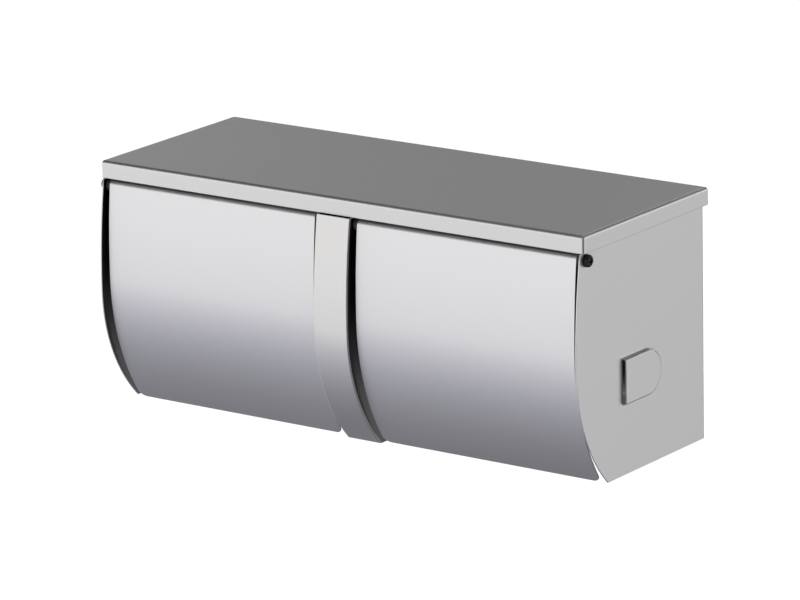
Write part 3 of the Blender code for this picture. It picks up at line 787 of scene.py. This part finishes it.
def shelf_tray_sheet(sheet):
    """Shelf top, its round bend and the lips.

    P(t, s) is the plan outline inset by b(1 - sin t) at height top - b(1 - cos t) on the bend of
    radius b, then straight down the lips. The flat top fills the innermost outline.
    """
    skin = Skin()
    bend = sheet.lip_bend
    t = np.linspace(0, math.pi / 2, 11)
    insets = np.concatenate([bend * (1 - np.sin(t)), [0, 0, 0]])
    drop = (LIP_Z - (TOP_Z - bend)) * np.array([0.1, 0.9, 1.0])
    heights = np.concatenate([TOP_Z - bend * (1 - np.cos(t)), TOP_Z - bend + drop])
    walked = np.concatenate([bend * t, bend * math.pi / 2 - drop])
    wider = np.array((sheet.weld_bulge, 0, 0))
    outer = round_rectangle(TRAY_LOW - wider, TRAY_HIGH + wider, sheet.corner, 0)
    inner = round_rectangle(TRAY_LOW - wider, TRAY_HIGH + wider, sheet.corner, bend)
    way = unit(outer - inner)
    plan = outer[None] - insets[:, None, None] * way[None]
    points = np.concatenate([plan, np.broadcast_to(heights[:, None, None], (*plan.shape[:2], 1))], -1)
    blank = inner[None] + walked[:, None, None] * way[None]
    middle = (TRAY_LOW + TRAY_HIGH) / 2
    skin.grid(points, blank, lambda place: place - middle, wrap_columns=True)
    skin.fill(inner, [], lambda flat: np.insert(flat, 2, TOP_Z, axis=1), lambda flat: flat, (0, 0, 1))
    return skin


def pocket_rings(sheet, centre, profile):
    """D-shaped outlines in (y, z), one for each inset of the wall's profile.

    Each runs from the open mouth back along the top, round the end and forward along the bottom.
    """
    rings = []
    for inset in profile[:, 0]:
        radius = sheet.pocket_radius - inset
        run = np.linspace(-sheet.pocket_straight, 0, 9)[:-1]
        top = np.stack([centre[0] + run, np.full(run.shape, centre[1] + radius)], -1)
        end = arc(centre, radius, math.pi / 2, -math.pi / 2, 36)
        bottom = np.stack([centre[0] + run[::-1], np.full(run.shape, centre[1] - radius)], -1)
        rings.append(np.concatenate([top, end, bottom]))
    return np.array(rings)


def press_pocket(skin, sheet, centre, raised, blank, outward, dull=0):
    """Adds a pressed D-shaped pocket and returns the outline that its plate leaves open.

    raised(flat, height) places points of the plate at a height above it. The wall takes the plate's surface
    along its top and a little way round the end; beyond that, round the end and along the bottom, it takes
    the steel painted dark as shade, which paints a dark line round the pocket.
    """
    profile = press_profile(sheet.pocket_rise, sheet.pocket_foot, sheet.pocket_crown, sheet.pocket_draft)
    rings = pocket_rings(sheet, centre, profile)
    heights = np.broadcast_to(profile[:, 1, None], rings.shape[:2])
    shaded = 14  # number of the first outline point from which the wall is painted dark as shade
    for part, number in ((slice(shaded + 1), dull), (slice(shaded, None), 1)):
        skin.grid(raised(rings, heights)[:, part], blank(rings)[:, part], outward, dull=number)
    rise = profile[-1, 1]
    skin.fill(rings[-1], [], lambda flat: raised(flat, np.full(len(flat), rise)), blank, outward, dull)
    return rings[0]


def circle(centre, radius, steps=48):
    return arc(centre, radius, 0, 2 * math.pi, steps)[:-1]


def press_seat(skin, sheet, centre, raised, blank, outward):
    """Adds a round screw seat: rings of radius seat_radius - inset at the wall profile's heights."""
    profile = press_profile(sheet.seat_rise, sheet.seat_foot, sheet.seat_crown, sheet.seat_draft)
    insets = np.append(profile[:, 0], sheet.seat_radius - sheet.seat_hole)
    heights = np.append(profile[:, 1], profile[-1, 1])
    rings = np.array([circle(centre, sheet.seat_radius - inset) for inset in insets])
    skin.grid(raised(rings, np.broadcast_to(heights[:, None], rings.shape[:2])), blank(rings), outward,
              wrap_columns=True)
    return rings[0]


def plate_outline(sheet, bow, rear_y, foot, inset):
    """Side view of an upright plate, from its notch down its bowed front edge and round behind."""
    front = bow.points(bow.down(LIP_Z - GAP, foot)) + (inset, 0)
    top, notch_y = BODY_HIGH[2], LIP_Y + sheet.lip_bend
    return np.concatenate([front, [(rear_y, foot), (rear_y, top), (notch_y, top), (notch_y, front[0, 1])]])


def pressed_plate(skin, sheet, bow, side, face, rear_y, foot, hole, blank, inset=0.0, dull=0):
    """Adds an upright plate with its roller pocket and its hinge hole.

    face(height) is the plate's distance from the middle where it is pressed to a height, and
    hole is the radius of its hole.
    """
    def raised(flat, height):
        return np.stack([side * face(height), flat[..., 0], flat[..., 1]], -1)

    outward = np.array((side, 0, 0))
    pocket = press_pocket(skin, sheet, (ROLLER[1], TOP_Z - sheet.pocket_drop), raised, blank, outward, dull)
    outline = plate_outline(sheet, bow, rear_y, foot, inset)
    skin.fill(outline, [pocket, circle(HINGE[1:], hole, 32)], lambda flat: raised(flat, 0 * flat[:, 0]),
              blank, outward, dull)


def body_shell_sheet(sheet):
    """Back panel and side plates folded from one sheet: flat regions, quarter-cylinder bends,
    pressed D-shaped pockets in the plates and round screw seats in the back."""
    skin = Skin()
    face_x = BODY_HIGH[0] - sheet.pocket_rise
    back_y = BODY_HIGH[1] - sheet.seat_rise
    bend = sheet.back_bend
    half = face_x - bend
    rear_y = back_y - bend
    around = bend * math.pi / 2
    for side in (-1, 1):
        def blank(flat, side=side):
            return np.stack([side * (half + around + rear_y - flat[..., 0]), flat[..., 1]], -1)

        pressed_plate(skin, sheet, plate_bow(sheet), side, lambda height: face_x + height, rear_y, FOOT_Z,
                      sheet.hinge_hole, blank)
        t = np.linspace(0, math.pi / 2, 11)
        z = np.array([FOOT_Z, BODY_HIGH[2]])
        turn = np.broadcast_arrays(side * (half + bend * np.cos(t))[:, None],
                                   (rear_y + bend * np.sin(t))[:, None], z)
        flat = np.broadcast_arrays(side * (half + around - bend * t)[:, None], z)
        skin.grid(np.stack(turn, -1), np.stack(flat, -1), np.array((side, 1, 0)))

    def raised_back(flat, height):
        return np.stack([flat[..., 0], back_y + height, flat[..., 1]], -1)

    seats = [press_seat(skin, sheet, (side * sheet.seat_spacing / 2, TOP_Z - drop), raised_back,
                        lambda flat: flat, np.array((0, 1, 0)))
             for side in (-1, 1) for drop in (sheet.seat_drop, sheet.seat_drop + sheet.seat_step)]
    outline = np.array([(-half, FOOT_Z), (half, FOOT_Z), (half, BODY_HIGH[2]), (-half, BODY_HIGH[2])])
    skin.fill(outline, seats, lambda flat: raised_back(flat, 0 * flat[:, 0]), lambda flat: flat, (0, 1, 0))
    return skin


def divider_sheet(sheet):
    """Channel between the bays.

    Its front is P(i, j) = (x_j, y(z_i) + d_j, z_i): the cross section (x_j, d_j), flat with two
    round corners, carried down the bowed profile y(z). The cheeks are flat with recessed pockets,
    and quarter cylinders turn them into the rear flanges.
    """
    skin = Skin()
    half, foot = CHEEK_X, DIVIDER_LOW[2]
    bow = plate_bow(sheet, foot, sheet.web_proud)
    bend = sheet.web_bend
    left = arc((-half + bend, bend), bend, math.pi, 1.5 * math.pi, 7)
    right = arc((half - bend, bend), bend, 1.5 * math.pi, 2 * math.pi, 7)
    section = np.concatenate([left, right])
    z = bow.down(LIP_Z - GAP, foot)
    front = bow.points(z)
    shape = (len(front), len(section))
    x = np.broadcast_to(section[None, :, 0], shape)
    y = front[:, None, 0] + section[None, :, 1]
    height = np.broadcast_to(z[:, None], shape)
    skin.grid(np.stack([x, y, height], -1), np.stack([x, height], -1), np.array((0, -1, 0)))
    rear = DIVIDER_HIGH[1]
    turn = sheet.flange_bend
    rear_y = rear - turn
    for side in (-1, 1):
        def blank(flat, side=side):
            return np.stack([side * (half + flat[..., 0] - LIP_Y), flat[..., 1]], -1)

        # The cheeks face into the bays, so they take the steel painted dark as shade.
        pressed_plate(skin, sheet, bow, side, lambda height: half - height, rear_y, foot,
                      sheet.pilot_hole, blank, inset=bend, dull=1)
        t = np.linspace(0, math.pi / 2, 9)
        ends = np.array([foot, BODY_HIGH[2]])
        path = np.stack([side * (half - turn + turn * np.cos(t)), rear_y + turn * np.sin(t)], -1)
        path = np.concatenate([path, [(side * sheet.flange_slot / 2, rear)]])
        walked = np.concatenate([[0], np.cumsum(np.linalg.norm(np.diff(path, axis=0), axis=1))])
        strip = np.broadcast_arrays(path[:, None, 0], path[:, None, 1], ends)
        flat = np.broadcast_arrays(side * (half + rear_y - LIP_Y + walked)[:, None], ends)
        # The flanges face into the bays too and take the steel painted dark as shade.
        skin.grid(np.stack(strip, -1), np.stack(flat, -1), np.array((side * 0.2, 1, 0)), dull=1)
    return skin


def cover_sheet(sheet, cover, side):
    """Bowed cover: P(u, s) = (middle + u w(s), path(s)).

    path(s) turns round the rod, then follows the bow down to the foot, and the half width w(s)
    shrinks along a quarter circle at the lower corners.
    """
    skin = Skin()
    bow = cover_bow(sheet, cover)
    lean = math.asin((HINGE[2] - bow.apex_z) / (bow.upper - cover.barrel))
    curl = arc(HINGE[1:], cover.barrel, math.pi - lean - cover.curl, math.pi - lean, 44)
    foot_turn = math.asin((bow.apex_z - COVER_LOW[2]) / bow.lower)
    corner = cover.corner
    left_over = corner * (1 - np.cos(np.linspace(math.pi / 2, 0, 11)))  # path still to go to the foot
    steps = np.linspace(0, foot_turn - corner / bow.lower, 26)
    lower = bow.apex_z - bow.lower * np.sin(np.concatenate([steps, foot_turn - left_over[1:] / bow.lower]))
    upper = np.linspace(curl[-1, 1], bow.apex_z, 15)[1:-1]
    path = np.concatenate([curl, bow.points(np.concatenate([upper, lower]))])
    to_go = np.concatenate([np.full(len(path) - 11, corner), left_over])
    half = (COVER_HIGH[0] - COVER_LOW[0]) / 2
    width = half - corner + np.sqrt(np.maximum(corner ** 2 - (corner - to_go) ** 2, 0))
    middle = side * (COVER_HIGH[0] + COVER_LOW[0]) / 2
    u = np.linspace(-1, 1, 17)
    x = middle + width[:, None] * u
    walked = np.concatenate([[0], np.cumsum(np.linalg.norm(np.diff(path, axis=0), axis=1))])
    y, z, down = (np.broadcast_to(row[:, None], x.shape) for row in (path[:, 0], path[:, 1], -walked))
    apex = np.array((0, -1, 0))
    skin.grid(np.stack([x, y, z], -1), np.stack([x, down], -1), apex)
    return skin


# Hinge and roller pieces --------------------------------------------------------------------

def rod_profile(hinge):
    """Hinge rod: a thin end for the divider, a threaded bore for the screw, broken edges."""
    low, high = node_box("right_hinge_rod")
    shoulder = low[0] + hinge.pilot_length
    bore_end = node_box("right_hinge_screw")[0][0] - GAP
    cut = hinge.chamfer
    corners = [(0, bore_end), (hinge.bore, bore_end), (hinge.bore, high[0] - cut),
               (hinge.bore + cut, high[0]), (hinge.rod - cut, high[0]), (hinge.rod, high[0] - cut),
               (hinge.rod, shoulder + cut),
               (hinge.rod - cut, shoulder), (hinge.pilot, shoulder), (hinge.pilot, low[0] + cut),
               (hinge.pilot - cut, low[0]), (0, low[0])]
    return rounded_profile(corners, 0.08 * MM, 2)


def cross_depth(radius, t, hinge):
    """Depth of the cross recess, 0 to 1: the larger of two bars with soft sides."""
    y, z = radius * np.cos(t), radius * np.sin(t)
    soft = 0.22 * MM

    def bar(across, along):
        side = np.clip((hinge.recess_width + soft / 2 - np.abs(across)) / soft, 0, 1)
        end = np.clip((hinge.recess_arm - np.abs(along)) / (0.55 * MM), 0, 1)
        return np.minimum(side * side * (3 - 2 * side), end)

    return np.maximum(bar(y, z), bar(z, y))


def screw_surface(hinge, side):
    """Domed head with a cross recess, and a threaded shank.

    Head: distance(r, t) = crest - h(1 - sqrt(1 - (r/R)^2)) - recess(r, t). Shank: radius(d, t) =
    crest radius less the thread's depth times a triangle wave of d / pitch - t / 2 pi.
    """
    low, high = node_box("right_hinge_screw")
    crest = high[0]
    seat = crest - hinge.head_height
    round_steps, steep = 120, 0.78  # the crown's rows crowd together beyond this share of its radius
    t = np.arange(round_steps) * 2 * math.pi / round_steps
    fan = np.concatenate([np.linspace(0, steep, 34),
                          np.sin(np.linspace(math.asin(steep), math.pi / 2, 12))[1:]])
    radius = (hinge.head * fan)[:, None]
    dome = crest - hinge.head_dome * (1 - np.sqrt(np.maximum(1 - fan ** 2, 0)))[:, None]
    head = dome - hinge.recess_depth * cross_depth(radius, t[None], hinge) * (fan[:, None] < 0.999)
    rim = np.array([(hinge.head, seat + 0.25 * MM), (hinge.head - 0.08 * MM, seat + 0.06 * MM),
                    (hinge.head - 0.25 * MM, seat), (hinge.shank, seat)])
    turns = np.arange(seat - 0.3 * MM, low[0] + 0.4 * MM, -hinge.thread_pitch / 8)
    phase = turns[:, None] / hinge.thread_pitch - t[None] / (2 * math.pi)
    wave = np.abs((phase % 1) * 2 - 1)
    thread = hinge.shank - hinge.thread_depth * wave
    rows_radius = [np.broadcast_to(radius, head.shape), np.broadcast_to(rim[:, :1], (4, round_steps)),
                   thread, np.broadcast_to([[hinge.shank * 0.7], [0.0]], (2, round_steps))]
    rows_along = [head, np.broadcast_to(rim[:, 1:], (4, round_steps)),
                  np.broadcast_to(turns[:, None], thread.shape), np.full((2, round_steps), low[0])]
    radius, along = np.concatenate(rows_radius), np.concatenate(rows_along)
    points = np.stack([side * along, HINGE[1] + radius * np.cos(t), HINGE[2] + radius * np.sin(t)], -1)
    return closed(points.reshape(-1, 3), [grid_faces(*radius.shape, wrap_columns=True)])


def ring_corners(node, bore):
    """Cross section of a ring that fills its frame node's box round a bore."""
    low, high = node_box(node)
    outer = (high[2] - low[2]) / 2
    return [(bore, high[0]), (outer, high[0]), (outer, low[0]), (bore, low[0])]


def outer_tube_profile(roller):
    """Wide tube with a rolled bead near its open end."""
    low, high = node_box("right_roller_outer_tube")
    outer = (high[2] - low[2]) / 2
    bore = outer - roller.wall
    start, end = low[0], high[0]
    t = np.linspace(math.pi, 0, 9)
    bead = np.stack([outer - roller.bead * np.sin(t),
                     start + roller.bead_place - roller.bead_width * np.cos(t) / 2], -1)
    near_end = rounded_profile([(bore, end), (outer, end), (outer, end - 1 * MM)], roller.lip)
    open_end = rounded_profile([(outer, start + 1 * MM), (outer, start), (bore, start),
                                (bore, start + 1 * MM)], roller.lip)
    return np.concatenate([near_end[:-1], bead, open_end])


def inner_tube_profile(roller):
    low, high = node_box("right_roller_inner_tube")
    outer = (high[2] - low[2]) / 2
    return rounded_profile([(outer - roller.wall, high[0]), (outer, high[0]), (outer, low[0]),
                            (outer - roller.wall, low[0])], roller.lip, ring=True)


def plug_profile(node, roller, bay, flange_radius, spigot_radius):
    """End plug as (radius, distance from the roller's middle): nub, flange and spigot.

    bay is the distance to the wall of the bay. The nub's end has a dimple and a shallow ring.
    """
    low, high = node_box(node)
    if node.endswith("inner_plug"):
        tip, end = -low[0], -high[0]
    else:
        tip, end = high[0], low[0]
    floor = bay - roller.side_gap
    shoulder = floor - roller.flange
    dimple, dimple_floor, ring_floor = 1.1 * MM, tip - 0.5 * MM, tip - 0.35 * MM
    ring = roller.nub * np.array((0.62, 0.66, 0.74, 0.78))
    corners = [(0, dimple_floor), (dimple, dimple_floor), (dimple + 0.3 * MM, tip), (ring[0], tip),
               (ring[1], ring_floor), (ring[2], ring_floor), (ring[3], tip), (roller.nub, tip),
               (roller.nub, floor), (flange_radius, floor), (flange_radius, shoulder),
               (spigot_radius, shoulder), (spigot_radius, end), (0, end)]
    return rounded_profile(corners, 0.9 * MM, 5)


def spring_surface(roller, side):
    """Compression spring: a circle of the wire's radius carried along
    C(t) = (x(t), R cos t, R sin t), where x(t) rises slowly over the closed end turns."""
    low, high = node_box("right_roller_spring")
    wire, coil = roller.wire, roller.coil
    start, span = low[0] + wire, high[0] - low[0] - 2 * wire
    shut = 2 * wire + 0.1 * MM
    turns = roller.turns + 2
    t = np.linspace(0, turns, turns * 28 + 1)
    knots = [0, 1, turns - 1, turns]
    rise = np.interp(t, knots, [0, shut, span - shut, span])
    spin = 2 * math.pi * t
    centre = np.stack([start + rise, coil * np.cos(spin), coil * np.sin(spin)], -1)
    along = unit(np.gradient(centre, axis=0))
    radial = unit(np.stack([0 * t, np.cos(spin), np.sin(spin)], -1))
    binormal = np.cross(along, radial)
    turn = np.arange(12) * 2 * math.pi / 12
    across, over = np.cos(turn)[None, :, None], np.sin(turn)[None, :, None]
    points = centre[:, None] + wire * (across * radial[:, None] + over * binormal[:, None])
    points = np.concatenate([np.repeat(centre[:1, None], 12, 1), points, np.repeat(centre[-1:, None], 12, 1)])
    points = points * (side, 1, 1) + (0, ROLLER[1], ROLLER[2])
    return closed(points.reshape(-1, 3), [grid_faces(*points.shape[:2], wrap_columns=True)])


# Operators ----------------------------------------------------------------------------------

def steels(finish, kind):
    """Polished surface of a sheet piece, and the rougher steel painted dark as shade for its faces toward the
    bays.
    """
    tint = finish.cover if kind == "cover" else finish.steel
    return (satin_steel(kind + "_steel", tint, finish.steel_roughness),
            satin_steel(kind + "_steel_inside", finish.inside, finish.inside_roughness, 0.012, 0.00035))


class SheetPiece:
    """What the operators of the folded pieces share: each adds the sheet that it makes."""

    def execute(self, context):
        sheet, finish = context.scene.holder_sheet, context.scene.holder_finish
        add_sheet(self.node, self.make(sheet), sheet.sheet, sheet.deburr, steels(finish, "sheet"))
        return {"FINISHED"}


class HOLDER_OT_shelf(SheetPiece, bpy.types.Operator):
    """Add the shelf tray with its folded lips"""
    bl_idname = "holder.shelf"
    bl_label = "Shelf Tray"
    node = "shelf_tray"
    make = staticmethod(shelf_tray_sheet)


class HOLDER_OT_body(SheetPiece, bpy.types.Operator):
    """Add the folded body with its roller pockets and screw seats"""
    bl_idname = "holder.body"
    bl_label = "Body Shell"
    node = "body_shell"
    make = staticmethod(body_shell_sheet)


class HOLDER_OT_divider(SheetPiece, bpy.types.Operator):
    """Add the channel that parts the two bays"""
    bl_idname = "holder.divider"
    bl_label = "Centre Divider"
    node = "centre_divider"
    make = staticmethod(divider_sheet)


class HOLDER_OT_covers(bpy.types.Operator):
    """Add both bowed covers with their curls"""
    bl_idname = "holder.covers"
    bl_label = "Covers"

    def execute(self, context):
        scene = context.scene
        for prefix, side in SIDES:
            skin = cover_sheet(scene.holder_sheet, scene.holder_cover, side)
            add_sheet(prefix + "cover", skin, scene.holder_cover.sheet, scene.holder_cover.deburr,
                      steels(scene.holder_finish, "cover"))
        return {"FINISHED"}


class HOLDER_OT_hinges(bpy.types.Operator):
    """Add the hinge rods, screws, washers and spacers"""
    bl_idname = "holder.hinges"
    bl_label = "Hinge Hardware"

    def execute(self, context):
        hinge, finish = context.scene.holder_hinge, context.scene.holder_finish
        rod = turned_steel("rod_steel", finish.rod, finish.rod_roughness)
        black = black_plating("black_hardware", finish.black)
        nylon = moulded_plastic("black_nylon", finish.nylon, finish.nylon_roughness)
        for prefix, side in SIDES:
            add_riding(prefix + "hinge_rod", *turned(rod_profile(hinge), side, HINGE[1:]), rod)
            add_riding(prefix + "hinge_screw", *screw_surface(hinge, side), black)
            washer = rounded_profile(ring_corners("right_hinge_washer", hinge.bore), 0.14 * MM, ring=True)
            add_riding(prefix + "hinge_washer", *turned(washer, side, HINGE[1:], ring=True), black)
            for spacer in ("inner_spacer", "outer_spacer"):
                corners = ring_corners("right_" + spacer, hinge.rod + GAP)
                ring = rounded_profile(corners, hinge.chamfer, ring=True)
                add_riding(prefix + spacer, *turned(ring, side, HINGE[1:], ring=True), nylon)
        return {"FINISHED"}


class HOLDER_OT_rollers(bpy.types.Operator):
    """Add the telescoping rollers with their plugs and springs"""
    bl_idname = "holder.rollers"
    bl_label = "Rollers"

    def execute(self, context):
        roller, finish = context.scene.holder_roller, context.scene.holder_finish
        tube = turned_steel("roller_steel", finish.tube, finish.tube_roughness, 0.0004)
        plastic = moulded_plastic("plug_plastic", finish.plug, finish.plug_roughness)
        wire = turned_steel("spring_steel", finish.wire, finish.wire_roughness, 0.0006)
        axis = ROLLER[1:]
        low, high = node_box("right_roller_outer_tube")
        wide = (high[2] - low[2]) / 2
        bore = wide - roller.wall
        slim = bore - roller.clearance
        plate = BODY_HIGH[0] - context.scene.holder_sheet.pocket_rise - context.scene.holder_sheet.sheet
        outer_plug = plug_profile("right_roller_outer_plug", roller, plate, wide, bore - roller.clearance)
        inner_plug = plug_profile("right_roller_inner_plug", roller, -CHEEK_X, slim,
                                  slim - roller.wall - roller.clearance)
        tubes = (("roller_outer_tube", outer_tube_profile(roller)),
                 ("roller_inner_tube", inner_tube_profile(roller)))
        for prefix, side in SIDES:
            for name, profile in tubes:
                add_riding(prefix + name, *turned(profile, side, axis, ring=True), tube)
            add_riding(prefix + "roller_outer_plug", *turned(outer_plug, side, axis), plastic)
            add_riding(prefix + "roller_inner_plug", *turned(inner_plug, -side, axis), plastic)
            low, high = node_box(prefix + "roller_spring")
            spring = add_piece(prefix + "roller_spring", *spring_surface(roller, side), (wire,))
            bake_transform(spring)
        return {"FINISHED"}


def direction(azimuth, elevation):
    """Unit vector to a point of the sky. Azimuth 0 is ahead of the holder, 90 to its right."""
    a, e = math.radians(azimuth), math.radians(elevation)
    return (math.sin(a) * math.cos(e), -math.cos(a) * math.cos(e), math.sin(e))


SKY_STEPS = (  # elevation in degrees and brightness: floor side, horizon, bright walls, dark ceiling
    (-90, 0.02), (-62, 0.06), (-53, 0.13), (-43, 0.25), (-33, 0.42), (-24, 0.66), (-16.8, 0.88),
    (-15.2, 1.33), (17.0, 1.24), (22.0, 0.03), (58.0, 0.03), (70.0, 0.5), (90, 0.55))
SKY_PATCHES = (  # azimuth, elevation, inner and outer radius in degrees, brightness
    (-144, 15.5, 6, 9, 0.40),
    (56, -14, 32, 40, 0.02),
    (182, -15, 20, 30, 0.02),
    (163, -48, 18, 27, 0.03),
    (146, -16, 8, 14, 0.72),
    (-153, 1, 9, 12, 0.04),
    (-159, 33, 6, 10, 1.3),
)
SKY_TINTS = (  # elevation in degrees and colour
    (-24, (0.955, 0.955, 1.13, 1.0)), (-15.5, (1.0, 0.988, 0.978, 1.0)), (4, (1.0, 0.988, 0.978, 1.0)),
    (14, (0.995, 0.975, 1.0, 1.0)))


def build_sky(world):
    """Soft studio light: brightness by elevation, with a few soft-edged cards and gaps."""
    world.use_nodes = True
    nodes = Nodes(world.node_tree)
    background = world.node_tree.nodes["Background"]
    way = nodes.add("ShaderNodeTexCoord").outputs["Generated"]
    height = nodes.add("ShaderNodeSeparateXYZ", {0: way}).outputs["Z"]
    elevation = nodes.math("DEGREES", nodes.math("ARCSINE", height))
    light = SKY_STEPS[0][1]
    for (low, _), (high, bright) in zip(SKY_STEPS, SKY_STEPS[1:]):
        step = nodes.remap(elevation, low, high, 0.0, 1.0)
        mixed = nodes.add("ShaderNodeMix", {"Factor": step, 2: light, 3: bright}, data_type="FLOAT")
        light = mixed.outputs[0]
    for azimuth, rise, inner, outer, bright in SKY_PATCHES:
        facing = nodes.add("ShaderNodeVectorMath", {0: way, 1: direction(azimuth, rise)},
                           operation="DOT_PRODUCT").outputs["Value"]
        edge, core = math.cos(math.radians(outer)), math.cos(math.radians(inner))
        mask = nodes.remap(facing, edge, core, 0.0, 1.0, smooth=True)
        mixed = nodes.add("ShaderNodeMix", {"Factor": mask, 2: light, 3: bright}, data_type="FLOAT")
        light = mixed.outputs[0]
    tint = SKY_TINTS[0][1]
    for (low, _), (high, shown) in zip(SKY_TINTS, SKY_TINTS[1:]):
        step = nodes.remap(elevation, low, high, 0.0, 1.0)
        tint = nodes.add("ShaderNodeMix", {"Factor": step, 6: tint, 7: shown}, data_type="RGBA").outputs[2]
    coloured = nodes.add("ShaderNodeVectorMath", {0: tint, "Scale": light}, operation="SCALE").outputs[0]
    seen = nodes.add("ShaderNodeLightPath").outputs["Is Camera Ray"]
    shown = nodes.add("ShaderNodeMix", {"Factor": seen, 6: coloured, 7: (1.0, 1.0, 1.0, 1.0)},
                      data_type="RGBA").outputs[2]
    world.node_tree.links.new(shown, background.inputs["Color"])


def build_floor(drop):
    """A wide pale sheet below the holder."""
    size = 20.0
    z = (CAD_BOX[0].z + CAD_BOX[1].z) / 2 - drop
    corners = [(x, y, z) for x, y in ((-size, -size), (size, -size), (size, size), (-size, size))]
    mesh = bpy.data.meshes.new("floor")
    mesh.from_pydata(corners, [], [(0, 1, 2, 3)])
    surface = bpy.data.materials.new("pale_floor")
    surface.use_nodes = True
    shader = surface.node_tree.nodes["Principled BSDF"]
    shader.inputs["Base Color"].default_value = (0.9, 0.9, 0.9, 1)
    shader.inputs["Roughness"].default_value = 0.9
    shader.inputs["Emission Color"].default_value = (1, 1, 1, 1)
    shader.inputs["Emission Strength"].default_value = 0.85
    mesh.materials.append(surface)
    floor = bpy.data.objects.new("floor", mesh)
    floor.visible_glossy = floor.visible_shadow = False
    bpy.context.scene.collection.objects.link(floor)


class HOLDER_OT_stage(bpy.types.Operator):
    """Add the camera, the pale floor and the soft studio light"""
    bl_idname = "holder.stage"
    bl_label = "Stage"

    def execute(self, context):
        scene = context.scene
        studio = scene.holder_studio
        scene.view_settings.view_transform = "Standard"
        back = Vector(direction(math.degrees(studio.azimuth), math.degrees(studio.elevation)))
        right = Vector((math.cos(studio.azimuth), math.sin(studio.azimuth), 0))
        up = back.cross(right)
        tilt = studio.roll
        across = right * math.cos(tilt) + up * math.sin(tilt)
        upward = up * math.cos(tilt) - right * math.sin(tilt)
        camera = bpy.data.objects.new("camera", bpy.data.cameras.new("camera"))
        scene.collection.objects.link(camera)
        middle = (CAD_BOX[0] + CAD_BOX[1]) / 2
        turn = Matrix((across, upward, back)).transposed().to_4x4()
        camera.matrix_world = Matrix.Translation(middle + back * studio.distance) @ turn
        camera.data.lens = studio.lens
        camera.data.clip_end = 100
        scene.camera = camera
        scene.world = scene.world or bpy.data.worlds.new("studio")
        build_sky(scene.world)
        build_floor(studio.floor_drop)
        return {"FINISHED"}


class HOLDER_PT_sidebar(bpy.types.Panel):
    """Buttons that build the holder piece by piece"""
    bl_label = "Double Roll Holder"
    bl_idname = "HOLDER_PT_sidebar"
    bl_space_type = "VIEW_3D"
    bl_region_type = "UI"
    bl_category = "Roll Holder"

    def draw(self, context):
        for operator in OPERATORS:
            self.layout.operator(operator.bl_idname)
        for name in SETTINGS:
            settings = getattr(context.scene, name)
            box = self.layout.box()
            for field in settings.bl_rna.properties.keys()[2:]:
                box.prop(settings, field)


OPERATORS = (HOLDER_OT_stage, HOLDER_OT_shelf, HOLDER_OT_body, HOLDER_OT_divider, HOLDER_OT_covers,
             HOLDER_OT_hinges, HOLDER_OT_rollers)


def register():
    for group in (*SETTINGS.values(), *OPERATORS, HOLDER_PT_sidebar):
        bpy.utils.register_class(group)
    for name, group in SETTINGS.items():
        setattr(bpy.types.Scene, name, PointerProperty(type=group))


def unregister():
    for name in SETTINGS:
        delattr(bpy.types.Scene, name)
    for group in (HOLDER_PT_sidebar, *OPERATORS, *SETTINGS.values()):
        bpy.utils.unregister_class(group)


def main():
    register()
    bpy.ops.holder.stage()
    bpy.ops.holder.shelf()
    bpy.ops.holder.body()
    bpy.ops.holder.divider()
    bpy.ops.holder.covers()
    bpy.ops.holder.hinges()
    bpy.ops.holder.rollers()


if __name__ == "__main__":
    main()
